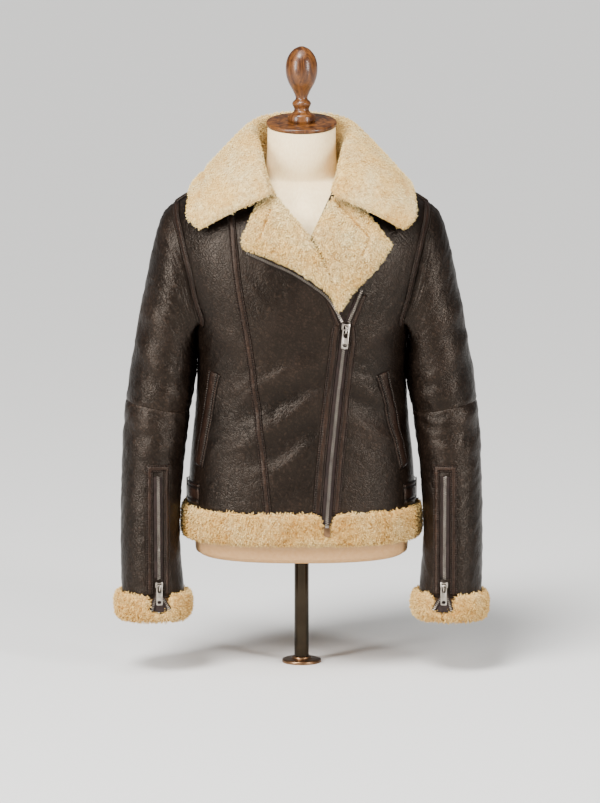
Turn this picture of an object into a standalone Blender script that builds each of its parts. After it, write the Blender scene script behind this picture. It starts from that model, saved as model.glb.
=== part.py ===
# Shearling bomber jacket on a limbless dress form.
# Metres, +Z up. The jacket faces -Y, its wearer's left is +X.
# The origin is the centre of the foot flange's underside.
# Tables and sizes are written in millimetres and turned into metres by MM.

import math

import bmesh
import bpy
import numpy as np
from mathutils import Matrix, Vector
from mathutils.bvhtree import BVHTree

MM = 0.001

# Driving sizes, in millimetres
LEATHER = 4.0            # the wall of hide and clipped wool
SEAM_GAP = 0.36          # between two pieces sewn edge to edge
LIFT = 0.7               # between a panel and what is sewn on it
HEM_TOP = 243.0          # the lower edge of the leather
CREST = 742.0            # the height of the shoulder beside the neck
ARMPIT = 502.0           # the lowest point of the armhole
SHOULDER_X = 193.0       # from the middle to the shoulder tip
LAPEL_THICK = 12.0
STRIP_THICK = 2.2
RING_POINTS = 24         # points round an armhole and round a sleeve
ARM_START = (9, 8)       # the armhole strips end this many points down, front and back

ZIP_HALF = 5.0           # half the width of a closed zip, teeth and tape
ZIP_THICK = 2.6
FACING_NEAR = 7.4        # from the zip's middle to a facing's two edges
FACING_FAR = 20.0
SLIDER_Z = 520.0         # the hinge of the main pull tab
HEM_GAP = (30.0, 44.5)   # the hem band's two ends at the zip, from the middle
PRINCESS_HALF = 4.7
WELT_HALF = 10.0
TAB_HALF = 15.0          # the waist tabs
TAB_Z = 267.0
CUFF_ZIP_X = 213.0       # the sleeve zip's line, from the middle of the jacket
CUFF_SLIDER_Z = 136.0
CUFF_SLIDER_SHIFT = -0.8 # the slider and tapes sit this far inward of the zip's top
CUFF_GAP_SHIFT = -2.5    # and so does the middle of the cuff's opening
CUFF_FRAME_TOP = 309.0
CUFF_FRAME_FOOT = 120.0
CUFF_FRAME_HALF = 11.6
CUFF_GAP = 18.0          # degrees on each side of the zip that the cuff stays open

FOOT_RADIUS = 29.5
FOOT_BOSS = 9.0          # the height of the flange's socket
POLE_RADIUS = 11.0
FIT = 0.3                # between the stand's pieces
CAP_RADIUS = 52.5
CAP_TOP = 817.5
CAP_THICK = 6.5
CAP_TILT = 11.0          # degrees, the disc leans forward


def table(columns, *rows):
    """Named columns of numbers, one row for each section or fold."""
    values = np.array(rows, float)
    return {name: values[:, k] for k, name in enumerate(columns.split())}


# The trunk's outer surface, hem to shoulder crest, before the shoulders slope
TRUNK = table(
    "height half_width front back centre_y power",
    (192, 173, 127, 120, 0, 2.5),
    (240, 171, 126, 119, 0, 2.5),
    (285, 168, 123, 116, 0, 2.5),
    (330, 163, 120, 112, 0, 2.5),
    (380, 156, 118, 109, 0, 2.5),
    (430, 152, 118, 108, 0, 2.5),
    (474, 153, 121, 110, 0, 2.5),
    (510, 160, 125, 112, 0, 2.5),
    (550, 174, 127, 113, 0, 2.5),
    (590, 186, 126, 112, 0, 2.5),
    (630, 195, 121, 109, 0, 2.5),
    (665, 203, 110, 103, 0, 2.5),
    (695, 209, 92, 91, 0, 2.5),
    (718, 214, 68, 71, 0, 2.5),
    (734, 217, 38, 43, 0, 2.5),
    (742, 218, 0, 0, 0, 2.5),
)
CREST_ROW = len(TRUNK["height"]) - 1

# How far the shoulder line falls below the crest, by distance from the middle
SLOPE = table(
    "x fall",
    (0, 0), (60, 0), (100, 9), (140, 20), (172, 33), (193, 47), (230, 74),
)
SLOPE_START = 515.0

# Soft ridges (positive) and troughs in the leather of the trunk, on the fronts and the back
FOLDS = table(
    "x height length width angle amount side",
    (-25, 452, 62, 13, 24, 3.2, -1),
    (-20, 420, 70, 13, 27, -3.0, -1),
    (-22, 388, 74, 13, 30, 3.4, -1),
    (-20, 352, 66, 13, 33, -2.8, -1),
    (-16, 318, 54, 13, 36, 2.6, -1),
    (96, 430, 52, 13, -30, 2.8, -1),
    (100, 398, 56, 13, -33, -2.6, -1),
    (98, 366, 52, 13, -36, 2.6, -1),
    (-105, 500, 40, 14, -40, 2.4, -1),
    (112, 508, 42, 14, 40, 2.6, -1),
    (-70, 440, 80, 16, 12, 3.0, 1),
    (72, 436, 84, 16, -12, 3.0, 1),
    (0, 404, 90, 16, 3, -2.8, 1),
    (-66, 372, 74, 16, -14, 2.6, 1),
    (70, 366, 70, 16, 14, 2.6, 1),
    (0, 330, 76, 15, 0, 2.4, 1),
)

# The sleeve's rings: the outermost and innermost point of each, and its depth
SLEEVE = table(
    "outer_x outer_z inner_x inner_z centre_y half_depth power",
    (193, 693, 157, 502, -4, 66, 2.1),
    (205, 681, 158.4, 500, -4, 68, 2.1),
    (213, 663, 159.2, 495, -4, 70, 2.1),
    (221, 634, 159.8, 486, -5, 70, 2.1),
    (229, 597, 160.6, 472, -6, 69, 2.1),
    (237, 556, 162, 456, -8, 67, 2.1),
    (245.5, 508, 164, 437, -10, 65, 2.1),
    (255, 454, 167, 414, -13, 62, 2.1),
    (262, 404, 170, 386, -17, 60, 2.1),
    (266, 360, 173, 350, -22, 58, 2.1),
    (268.5, 313, 176, 308, -29, 56, 2.1),
    (270, 268, 179.5, 265, -36, 54, 2.1),
    (270.5, 220, 182, 220, -43, 52, 2.1),
    (270.5, 170, 180, 170, -49, 50, 2.1),
    (269, 116, 175, 116, -55, 48, 2.1),
    (269, 66, 175, 66, -60, 48, 2.1),
)
CUFF_ROW = 14.0
ELBOW_ROW = 8.0
ARM_BLEND = 5.0          # rings over which the armhole's shape fades out of the sleeve

# Creases round the sleeves: where each lies along and round the arm
SLEEVE_FOLDS = table(
    "row round length width angle amount",
    (6.4, 70, 50, 0.34, 12, 3.4),
    (7.3, 110, 54, 0.32, -10, 3.0),
    (8.5, 60, 46, 0.30, 14, 3.2),
    (9.4, 100, 50, 0.30, -12, 2.8),
    (7.0, 300, 60, 0.34, 8, 3.2),
    (8.2, 260, 54, 0.32, -9, 3.0),
    (9.2, 320, 48, 0.30, 10, 2.6),
    (5.2, 40, 46, 0.36, -14, 2.4),
)

# The armhole seam seen from the front, shoulder tip to armpit
ARMHOLE = table(
    "x z",
    (192.6, 690), (189, 668), (183, 650), (174.5, 617), (167.5, 589), (161, 562),
    (153.5, 538), (151.5, 522),
)

# The front edge that the zip follows, hem to slider, then the turned-back edge to the neck
ZIP_LINE = table("x z", (37, 236), (42.5, 310), (47.6, 364), (55, 436), (62, 500), (64, 530))
ROLL_RIGHT = table("x z", (64, 530), (56, 548), (37, 606), (12, 653), (-10, 681), (-38, 714))
ROLL_LEFT = table("x z", (12, 653), (27, 684), (46, 722))
PRINCESS = table(
    "x z", (-49, 236), (-57, 321), (-66, 399), (-78, 493), (-93.5, 586), (-103, 677),
)

# The open zip's two branches above the slider
BRANCH_RIGHT = table(
    "x z", (60, 533), (51, 550), (37, 570), (12, 589), (-16, 606), (-46, 619), (-79, 633),
)
BRANCH_LEFT = table("x z", (68, 532), (75, 549), (86, 577))
FACING_UPPER = table("x z", (81, 536), (88.5, 558), (99, 584))

# Lapel outlines, seen from the front: the open edge from the slider, then up to the gorge
LAPEL_RIGHT_EDGE = table(
    "x z", (50.5, 559), (40, 575), (14, 595), (-14, 612), (-44, 625), (-81, 638),
)
LAPEL_FOOT = (556.0, 548.0)  # where the right and the left lapel start on the roll line
LAPEL_RIGHT_TOP = table("x z", (-81, 638), (-86, 649), (-74, 677), (-59, 703), (-38, 709))
LAPEL_LEFT_EDGE = table("x z", (66, 549), (80, 577), (113, 613), (130, 641))
LAPEL_LEFT_TOP = table("x z", (130, 641), (98, 681), (76, 702), (46, 709))

# The collar's middle surface: stations from the front end to the middle of the back,
# each from the stand over the roll to the edge of the leaf
COLLAR = table(
    "stand_x stand_y stand_z roll_x roll_y roll_z mid_x mid_y mid_z edge_x edge_y edge_z thick",
    (46, -106, 718, 62, -112, 711, 100, -111, 692, 150, -101, 665, 10),
    (55, -76, 744, 65, -84, 753, 112, -94, 722, 168, -88, 681, 12),
    (62, -30, 768, 72, -32, 784, 116, -46, 755, 167, -50, 706, 12),
    (65, 16, 772, 76, 20, 801, 117, 22, 767, 160, 12, 722, 12),
    (54, 52, 775, 62, 62, 814, 94, 80, 780, 124, 86, 722, 12),
    (28, 68, 778, 34, 84, 820, 50, 108, 786, 68, 118, 724, 12),
    (0, 72, 778, 0, 90, 822, 0, 114, 787, 0, 126, 724, 12),
)
COLLAR_SHAPE = table("thick", (4,), (8,), (11,), (12,), (9,))
COLLAR_BASE = 4.0        # the width of the collar's lower edge
COLLAR_LIFT = 0.9        # between the neckline and that edge
NECK_BACK = table("x z", (63, 742), (50, 737), (30, 732), (0, 730))
NECK_FRONT_LEFT = table("x z", (46, 722), (55, 736), (63, 742))
NECK_FRONT_RIGHT = table("x z", (-38, 714), (-52, 733), (-63, 742))

# The wool hem band's section: height, and how far it stands off the trunk's surface
HEM_SECTION = table(
    "z off",
    (242.4, 1.5), (238, 6), (229, 8.5), (216, 9.2), (204, 8), (198, 5), (196, 1),
    (198, -3.6), (220, -4.2), (242.4, -3.6),
)

# The wool cuff's section along the arm: sleeve ring, and how far it stands off
CUFF_SECTION = table(
    "row off",
    (14.012, 3), (14.08, 10), (14.25, 13), (14.5, 13.5), (14.75, 12), (14.9, 7), (14.94, 1),
    (14.9, -3.4), (14.5, -4), (14.012, -3.6),
)

# The sleeve zip's two tape ends below the slider, away from the zip's line
CUFF_TAPE = table(
    "inner outer z", (-2.7, 2.7, 126), (-3, 2.9, 121), (-4, 4, 117), (-7, 6, 112),
    (-10.5, 8, 105), (-12.4, 9.4, 99),
)

# The dress form, bottom to neck
FORM = table(
    "z half_width front back centre_y power",
    (167, 140, 92, 88, 0, 2.3),
    (168.5, 149, 100, 95, 0, 2.35),
    (173, 156, 106, 101, 0, 2.4),
    (182, 160, 109, 104, 0, 2.4),
    (240, 159, 109, 104, 0, 2.4),
    (300, 153, 106, 100, 0, 2.4),
    (366, 144, 103, 95, 0, 2.4),
    (430, 137, 102, 94, 0, 2.4),
    (500, 141, 108, 97, 0, 2.4),
    (560, 147, 110, 98, 0, 2.4),
    (610, 151, 107, 97, 0, 2.4),
    (650, 152, 99, 93, 0, 2.3),
    (680, 148, 88, 86, 0, 2.2),
    (702, 136, 71, 73, 0, 2.1),
    (719.7, 112.4, 56.8, 59.4, 0, 2.05),
    (726.8, 78, 43, 44.5, 0, 2.0),
    (733, 56, 39, 39.5, 0, 2.0),
    (756, 52.5, 46, 45, 0, 2.0),
    (776, 51, 49.5, 48.5, 0, 2.0),
    (810.7, 50.5, 50, 50, 0, 2.0),
)
NECK_LEAN_START = 770.0

# The turned finial's profile, from the neck cap up
FINIAL = table(
    "z radius",
    (0, 19.5), (4, 21), (9, 19.5), (13, 13), (18, 11), (25, 14), (29, 12.5),
    (34, 8.8), (45, 13), (57, 19.5), (70, 23.2), (84, 23.3), (96, 19.8), (106, 12), (110.5, 3),
)


def material(name, colour, roughness, metallic=0.0):
    made = bpy.data.materials.new(name)
    made.use_nodes = True
    shader = made.node_tree.nodes["Principled BSDF"]
    shader.inputs["Base Color"].default_value = (*colour, 1.0)
    shader.inputs["Roughness"].default_value = roughness
    shader.inputs["Metallic"].default_value = metallic
    made.diffuse_color = (*colour, 1.0)
    return made


def spline(values, at):
    """A smooth curve through values, which lie at 0, 1, 2 and on."""
    values = np.asarray(values, float)
    last = len(values) - 1
    at = np.clip(np.asarray(at, float), 0, last)
    slope = np.gradient(values, axis=0) if last > 0 else values * 0
    low = np.minimum(np.floor(at).astype(int), last - 1)
    s = at - low
    shape = s.reshape(s.shape + (1,) * (values.ndim - 1))
    before, after = values[low], values[low + 1]
    return (
        before * (2 * shape**3 - 3 * shape**2 + 1)
        + slope[low] * (shape**3 - 2 * shape**2 + shape)
        + after * (3 * shape**2 - 2 * shape**3)
        + slope[low + 1] * (shape**3 - shape**2)
    )


def ease(value):
    value = np.clip(value, 0, 1)
    return value * value * (3 - 2 * value)


def signed_power(value, power):
    return np.sign(value) * np.abs(value) ** power


def unit(vectors):
    length = np.linalg.norm(vectors, axis=-1, keepdims=True)
    return vectors / np.maximum(length, 1e-12)


ROWS_FINE = np.linspace(0, CREST_ROW, 1501)
HEIGHTS_FINE = spline(TRUNK["height"], ROWS_FINE)


def row_of_height(height):
    return np.interp(height, HEIGHTS_FINE, ROWS_FINE)


def shoulder_fall(x, height):
    share = ease((height - SLOPE_START) / (CREST - SLOPE_START))
    return np.interp(np.abs(x), SLOPE["x"], SLOPE["fall"]) * share


def fold_height(x, height, side):
    """Total of the soft ridges and troughs, in millimetres."""
    total = np.zeros(np.broadcast(x, height).shape)
    for k in range(len(FOLDS["x"])):
        angle = math.radians(FOLDS["angle"][k])
        dx, dz = x - FOLDS["x"][k], height - FOLDS["height"][k]
        along = (dx * math.cos(angle) + dz * math.sin(angle)) / FOLDS["length"][k]
        across = (-dx * math.sin(angle) + dz * math.cos(angle)) / FOLDS["width"][k]
        bump = np.exp(-along**2 - across**2) * FOLDS["amount"][k]
        total += np.where(np.sign(side) == FOLDS["side"][k], bump, 0)
    return total


def trunk_plain(turn, row):
    """The trunk without folds; turn 0 is the front, 90 the wearer's left side."""
    angle = np.radians(turn)
    sine, cosine = np.sin(angle), np.cos(angle)
    read = {name: spline(TRUNK[name], row) for name in TRUNK}
    power = 2 / read["power"]
    x = read["half_width"] * signed_power(sine, power)
    depth = np.where(cosine > 0, read["front"], read["back"])
    y = read["centre_y"] - depth * signed_power(cosine, power)
    z = read["height"] - shoulder_fall(x, read["height"])
    return np.stack(np.broadcast_arrays(x, y, z), axis=-1)


def trunk_normal(turn, row):
    """Outward normal; on the crest it is the middle of the front's and the back's."""
    def one_side(turn, row):
        step_turn, step_row = 0.4, 0.01
        above = np.minimum(row + step_row, CREST_ROW)
        below = np.maximum(row - step_row, 0)
        along = trunk_plain(turn + step_turn, row) - trunk_plain(turn - step_turn, row)
        up = trunk_plain(turn, above) - trunk_plain(turn, below)
        return unit(np.cross(along, up))

    turn, row = np.broadcast_arrays(np.asarray(turn, float), np.asarray(row, float))
    other = np.where(turn >= 0, 180 - turn, -180 - turn)
    share = ease((row - (CREST_ROW - 0.25)) / 0.25)[..., None] * 0.5
    near_crest = np.minimum(row, CREST_ROW - 0.02)
    here = one_side(turn, near_crest)
    there = one_side(other, near_crest)
    return unit(here * (1 - share) + there * share)


def trunk(turn, row, off=0.0):
    """A point of the trunk's leather, moved out by off millimetres."""
    plain = trunk_plain(turn, row)
    side = np.where(np.cos(np.radians(turn)) > 0, -1, 1)
    off = off + fold_height(plain[..., 0], plain[..., 2], side)
    return plain + trunk_normal(turn, row) * np.asarray(off)[..., None]


def trunk_spot(x, z, side=-1):
    """The turn and row of the trunk's point at x and z, on the front (-1) or the back."""
    x, z = np.broadcast_arrays(np.asarray(x, float), np.asarray(z, float))
    height = np.array(z)
    for _ in range(40):
        height = np.minimum(z + shoulder_fall(x, height), CREST)
    row = row_of_height(height)
    half = spline(TRUNK["half_width"], row)
    power = spline(TRUNK["power"], row)
    turn = np.degrees(np.arcsin(np.clip(np.abs(x) / half, 0, 1) ** (power / 2)))
    turn = np.where(side < 0, turn, 180 - turn)
    return np.stack([np.where(x < 0, -turn, turn), row], axis=-1)


def along(line, count, columns=("x", "z")):
    """Count points evenly spaced along a smooth line through a table's rows."""
    points = np.stack([line[name] for name in columns], axis=-1)
    fine = spline(points, np.linspace(0, len(points) - 1, 400))
    return evenly(fine, count)


def evenly(points, count):
    travel = np.concatenate([[0], np.cumsum(np.linalg.norm(np.diff(points, axis=0), axis=1))])
    want = np.linspace(0, travel[-1], count)
    return np.stack([np.interp(want, travel, points[:, k]) for k in range(points.shape[1])], -1)


def spots(points, side=-1):
    return trunk_spot(points[:, 0], points[:, 1], side)


def armhole_loop(sign):
    """Spots on the trunk round an armhole: shoulder tip, front, armpit, back."""
    half = RING_POINTS // 2
    halves = []
    tip_height = CREST - np.interp(SHOULDER_X, SLOPE["x"], SLOPE["fall"])
    for side in (-1, 1):
        tip = trunk_spot(sign * SHOULDER_X, tip_height, side)
        tip[1] = CREST_ROW
        line = [tip] + [trunk_spot(sign * x, z, side) for x, z in zip(ARMHOLE["x"], ARMHOLE["z"])]
        line.append(np.array([sign * 90.0, row_of_height(ARMPIT + shoulder_fall(157, ARMPIT))]))
        fine = spline(np.array(line), np.linspace(0, len(line) - 1, 500))
        fine[:, 1] = np.minimum(fine[:, 1], CREST_ROW)
        surface = trunk_plain(fine[:, 0], fine[:, 1])
        travel = np.concatenate([[0], np.cumsum(np.linalg.norm(np.diff(surface, axis=0), axis=1))])
        want = np.linspace(0, travel[-1], half + 1)
        halves.append(np.stack([np.interp(want, travel, fine[:, k]) for k in range(2)], -1))
    return halves[0], halves[1]


LOOPS = {sign: armhole_loop(sign) for sign in (-1, 1)}


def armhole_ring(sign):
    """The armhole's points and the directions of its wall and of the arm, all round."""
    front, back = LOOPS[sign]
    ring = np.concatenate([trunk(*front[:-1].T), trunk(*back[:0:-1].T)])
    centre = ring.mean(axis=0)
    wall = unit(centre - ring)
    tangent = np.roll(ring, -1, axis=0) - np.roll(ring, 1, axis=0)
    arm = unit(np.cross(tangent, wall))
    arm *= np.sign(arm[:, 0].sum()) * sign
    return ring, wall, arm


ARMHOLES = {sign: armhole_ring(sign) for sign in (-1, 1)}


def sleeve_plain(sign, turn, row):
    """The sleeve; turn 0 is its outer side, 90 its front, 180 the side by the trunk."""
    angle = np.radians(turn)
    read = {name: spline(SLEEVE[name], row) for name in SLEEVE}
    first = {name: SLEEVE[name][0] for name in SLEEVE}

    def ring(values):
        power = 2 / values["power"]
        out, fore = signed_power(np.cos(angle), power), signed_power(np.sin(angle), power)
        x = (values["outer_x"] + values["inner_x"]) / 2
        z = (values["outer_z"] + values["inner_z"]) / 2
        half_x = (values["outer_x"] - values["inner_x"]) / 2
        half_z = (values["outer_z"] - values["inner_z"]) / 2
        return np.stack(np.broadcast_arrays(
            sign * (x + half_x * out), values["centre_y"] - values["half_depth"] * fore,
            z + half_z * out), axis=-1)

    points = ring(read)
    share = (1 - ease(np.asarray(row) / ARM_BLEND))[..., None]
    place = np.mod(turn, 360) / 360 * RING_POINTS
    seam = ARMHOLES[sign][0]
    low = np.floor(place).astype(int) % RING_POINTS
    part = (place - np.floor(place))[..., None]
    edge = seam[low] * (1 - part) + seam[(low + 1) % RING_POINTS] * part
    return points + share * (edge - ring(first))


def sleeve_fold(turn, row):
    total = np.zeros(np.broadcast(turn, row).shape)
    for k in range(len(SLEEVE_FOLDS["row"])):
        away = np.mod(turn - SLEEVE_FOLDS["round"][k] + 180, 360) - 180
        lean = math.tan(math.radians(SLEEVE_FOLDS["angle"][k])) * away / 60
        across = (row - SLEEVE_FOLDS["row"][k] - lean) / SLEEVE_FOLDS["width"][k]
        along_arm = away / SLEEVE_FOLDS["length"][k]
        total += np.exp(-across**2 - along_arm**2) * SLEEVE_FOLDS["amount"][k]
    return total


def sleeve_normal(sign, turn, row):
    last = len(SLEEVE["outer_x"]) - 1
    above, below = np.minimum(row + 0.02, last), np.maximum(row - 0.02, 0)
    round_arm = sleeve_plain(sign, turn + 1.5, row) - sleeve_plain(sign, turn - 1.5, row)
    down_arm = sleeve_plain(sign, turn, above) - sleeve_plain(sign, turn, below)
    return unit(np.cross(round_arm, down_arm)) * sign


def sleeve(sign, turn, row, off=0.0):
    turn, row = np.broadcast_arrays(np.asarray(turn, float), np.asarray(row, float))
    off = off + sleeve_fold(turn, row)
    return sleeve_plain(sign, turn, row) + sleeve_normal(sign, turn, row) * np.asarray(off)[..., None]


def coons(left, right, bottom, top):
    """A grid between four edges; left and right run up, bottom and top run left to right."""
    rows, columns = len(left), len(bottom)
    v = np.linspace(0, 1, rows)[:, None, None]
    u = np.linspace(0, 1, columns)[None, :, None]
    between_sides = left[:, None] * (1 - u) + right[:, None] * u
    between_ends = bottom[None] * (1 - v) + top[None] * v
    corners = (
        left[0] * (1 - u) * (1 - v) + right[0] * u * (1 - v)
        + left[-1] * (1 - u) * v + right[-1] * u * v
    )
    return between_sides + between_ends - corners


def add_object(name, points, faces, finish, smooth=True):
    mesh = bpy.data.meshes.new(name)
    mesh.from_pydata([Vector(p) for p in np.asarray(points) * MM], [], faces)
    work = bmesh.new()
    work.from_mesh(mesh)
    bmesh.ops.recalc_face_normals(work, faces=work.faces)
    if work.calc_volume(signed=True) < 0:
        bmesh.ops.reverse_faces(work, faces=work.faces)
    work.to_mesh(mesh)
    work.free()
    mesh.materials.append(finish)
    made = bpy.data.objects.new(name, mesh)
    bpy.context.scene.collection.objects.link(made)
    if smooth:
        mesh.shade_smooth()
        mesh.set_sharp_from_angle(angle=math.radians(40))
    return made


def shell(name, outer, inner, finish, round_u=False):
    """A closed wall between two grids of points, with rims at its edges."""
    rows, columns = outer.shape[:2]
    count = rows * columns
    points = np.concatenate([outer.reshape(-1, 3), inner.reshape(-1, 3)])

    def at(row, column):
        return row * columns + column % columns

    faces = []
    spans = columns if round_u else columns - 1
    for row in range(rows - 1):
        for column in range(spans):
            a, b = at(row, column), at(row, column + 1)
            c, d = at(row + 1, column + 1), at(row + 1, column)
            if np.linalg.norm(points[a] - points[c]) > np.linalg.norm(points[b] - points[d]):
                a, b, c, d = b, c, d, a
            for one, two, three in ((a, b, c), (a, c, d)):
                faces.append((one, two, three))
                faces.append((three + count, two + count, one + count))
    for row in (0, rows - 1):
        for column in range(spans):
            a, b = at(row, column), at(row, column + 1)
            faces.append((b, a, a + count, b + count))
    if not round_u:
        for column in (0, columns - 1):
            for row in range(rows - 1):
                a, b = at(row, column), at(row + 1, column)
                faces.append((a, b, b + count, a + count))
    return add_object(name, points, faces, finish)


def ease_edges(grid, gap, edges=("left", "right", "bottom", "top")):
    """Draws a grid's edges in by half a seam gap."""
    moved = np.array(grid)
    step = gap / 2
    if "left" in edges:
        moved[:, 0] += unit(grid[:, 1] - grid[:, 0]) * step
    if "right" in edges:
        moved[:, -1] += unit(grid[:, -2] - grid[:, -1]) * step
    if "bottom" in edges:
        moved[0] += unit(grid[1] - grid[0]) * step
    if "top" in edges:
        moved[-1] += unit(grid[-2] - grid[-1]) * step
    return moved


def trunk_panel(name, left, right, bottom, top, finish, armholes=()):
    """A leather panel between four edges given as turns and rows."""
    grid = coons(left, right, bottom, top)
    turn, row = grid[..., 0], grid[..., 1]
    outer = trunk(turn, row)
    inner = trunk(turn, row, -LEATHER)
    for column, sign, first in armholes:
        ring, wall, arm = ARMHOLES[sign]
        half = RING_POINTS // 2
        if column == "front":
            index = np.arange(half, -1, -1)
            edge = 0 if sign < 0 else -1
        else:
            index = np.arange(half, RING_POINTS + 1) % RING_POINTS
            edge = 0 if sign > 0 else -1
        place = slice(first, first + half + 1)
        outer[place, edge] = ring[index]
        inner[place, edge] = ring[index] + wall[index] * LEATHER
    shell(name, ease_edges(outer, SEAM_GAP), ease_edges(inner, SEAM_GAP), finish)
    return outer


def seated(surface, sheets):
    """A surface lifted to the faces of finished sheets, where they stand above its shape."""
    points, faces = [], []
    for grid in sheets:
        rows, columns = grid.shape[:2]
        start = len(points)
        points.extend(Vector(p) for p in grid.reshape(-1, 3))
        for row in range(rows - 1):
            for column in range(columns - 1):
                a = start + row * columns + column
                b, c, d = a + 1, a + columns + 1, a + columns
                faces.extend(((a, b, c), (a, c, d), (a, b, d), (b, c, d)))
    tree = BVHTree.FromPolygons(points, faces)
    reach = 14.0

    def place(turn, row, off=0.0):
        plain = surface(turn, row, 0.0)
        normal = unit(surface(turn, row, 1.0) - plain)
        flat, outward = plain.reshape(-1, 3), normal.reshape(-1, 3)
        base = flat.copy()
        for k, (point, way) in enumerate(zip(flat, outward)):
            hit = tree.ray_cast(Vector(point + way * reach), Vector(-way), reach)[0]
            if hit is not None:
                base[k] = hit
        return base.reshape(plain.shape) + normal * np.asarray(off, float)[..., None]

    return place


def strip(name, surface, path, left, right, finish, thick=STRIP_THICK, low=LIFT):
    """A raised strip along a path of surface coordinates, with a soft crown."""
    path = np.asarray(path, float)
    points = surface(path[:, 0], path[:, 1], 0.0)
    step = np.array([0.5, 0.02])
    sideways = []
    before = unit(np.diff(points, axis=0))
    for k, point in enumerate(points):
        d_first = (surface(path[k, 0] + step[0], path[k, 1], 0.0) - point) / step[0]
        d_second = (surface(path[k, 0], path[k, 1] + step[1], 0.0) - point) / step[1]
        normal = unit(np.cross(d_first, d_second))
        a = before[max(k - 1, 0)]
        b = before[min(k, len(before) - 1)]
        middle = unit(a + b)
        across = unit(np.cross(normal, middle)) / max(0.5, float(np.sqrt((1 + a @ b) / 2)))
        frame = np.stack([d_first, d_second], axis=1)
        sideways.append(np.linalg.lstsq(frame, across, rcond=None)[0])
    sideways = np.array(sideways)
    offsets = (-left, (right - left) / 2, right)
    tops = (low + thick * 0.75, low + thick, low + thick * 0.75)
    outer = np.stack([surface(*(path + sideways * o).T, top) for o, top in zip(offsets, tops)], 1)
    inner = np.stack([surface(*(path + sideways * o).T, low) for o in offsets], 1)
    ends = ("bottom", "top")
    return shell(name, ease_edges(outer, SEAM_GAP, ends), ease_edges(inner, SEAM_GAP, ends), finish)


def lathe(name, profile, finish, segments=24, base=0.0):
    """A solid turned about a vertical axis, closed at both ends."""
    turns = np.arange(segments) * 2 * math.pi / segments
    points, faces = [], []
    for z, radius in profile:
        for turn in turns:
            points.append((radius * math.cos(turn), radius * math.sin(turn), base + z))
    for row in range(len(profile) - 1):
        for k in range(segments):
            a, b = row * segments + k, row * segments + (k + 1) % segments
            faces.append((a, b, b + segments, a + segments))
    last = (len(profile) - 1) * segments
    faces.append(tuple(range(segments - 1, -1, -1)))
    faces.append(tuple(range(last, last + segments)))
    return add_object(name, points, faces, finish)


def sweep(name, sections, finish):
    """A bar through closed sections, with flat ends."""
    count, around = sections.shape[:2]
    points = sections.reshape(-1, 3)
    faces = []
    for k in range(count - 1):
        for j in range(around):
            a, b = k * around + j, k * around + (j + 1) % around
            faces.append((a, b, b + around, a + around))
    faces.append(tuple(range(around - 1, -1, -1)))
    faces.append(tuple(range((count - 1) * around, count * around)))
    return add_object(name, points, faces, finish)


def plate(name, outline, low, high, place, finish):
    """A flat outline (across, up) given a thickness, set in a frame of four columns."""
    levels = [np.array([(x, z, level) for x, z in outline], float) for level in (low, high)]
    points = np.concatenate(levels) @ place[:3, :3].T + place[:3, 3]
    count = len(outline)
    faces = [tuple(range(count - 1, -1, -1)), tuple(range(count, 2 * count))]
    for k in range(count):
        after = (k + 1) % count
        faces.append((k, after, after + count, k + count))
    return add_object(name, points, faces, finish, smooth=False)


def rounded(half_across, low, high, corner, steps=3):
    """A rounded rectangle's outline, across and up."""
    outline = []
    centres = (
        (half_across - corner, high - corner, 0), (corner - half_across, high - corner, 90),
        (corner - half_across, low + corner, 180), (half_across - corner, low + corner, 270))
    for x, z, start in centres:
        for k in range(steps + 1):
            turn = math.radians(start + 90 * k / steps)
            outline.append((x + corner * math.cos(turn), z + corner * math.sin(turn)))
    return outline


def combine(body, tool, operation):
    """Joins a guide to a body, or cuts it with one."""
    step = body.modifiers.new(tool.name, "BOOLEAN")
    step.operation = operation
    step.object = tool
    step.solver = "EXACT"
    tool.hide_render = True
    tool.display_type = "WIRE"


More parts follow.
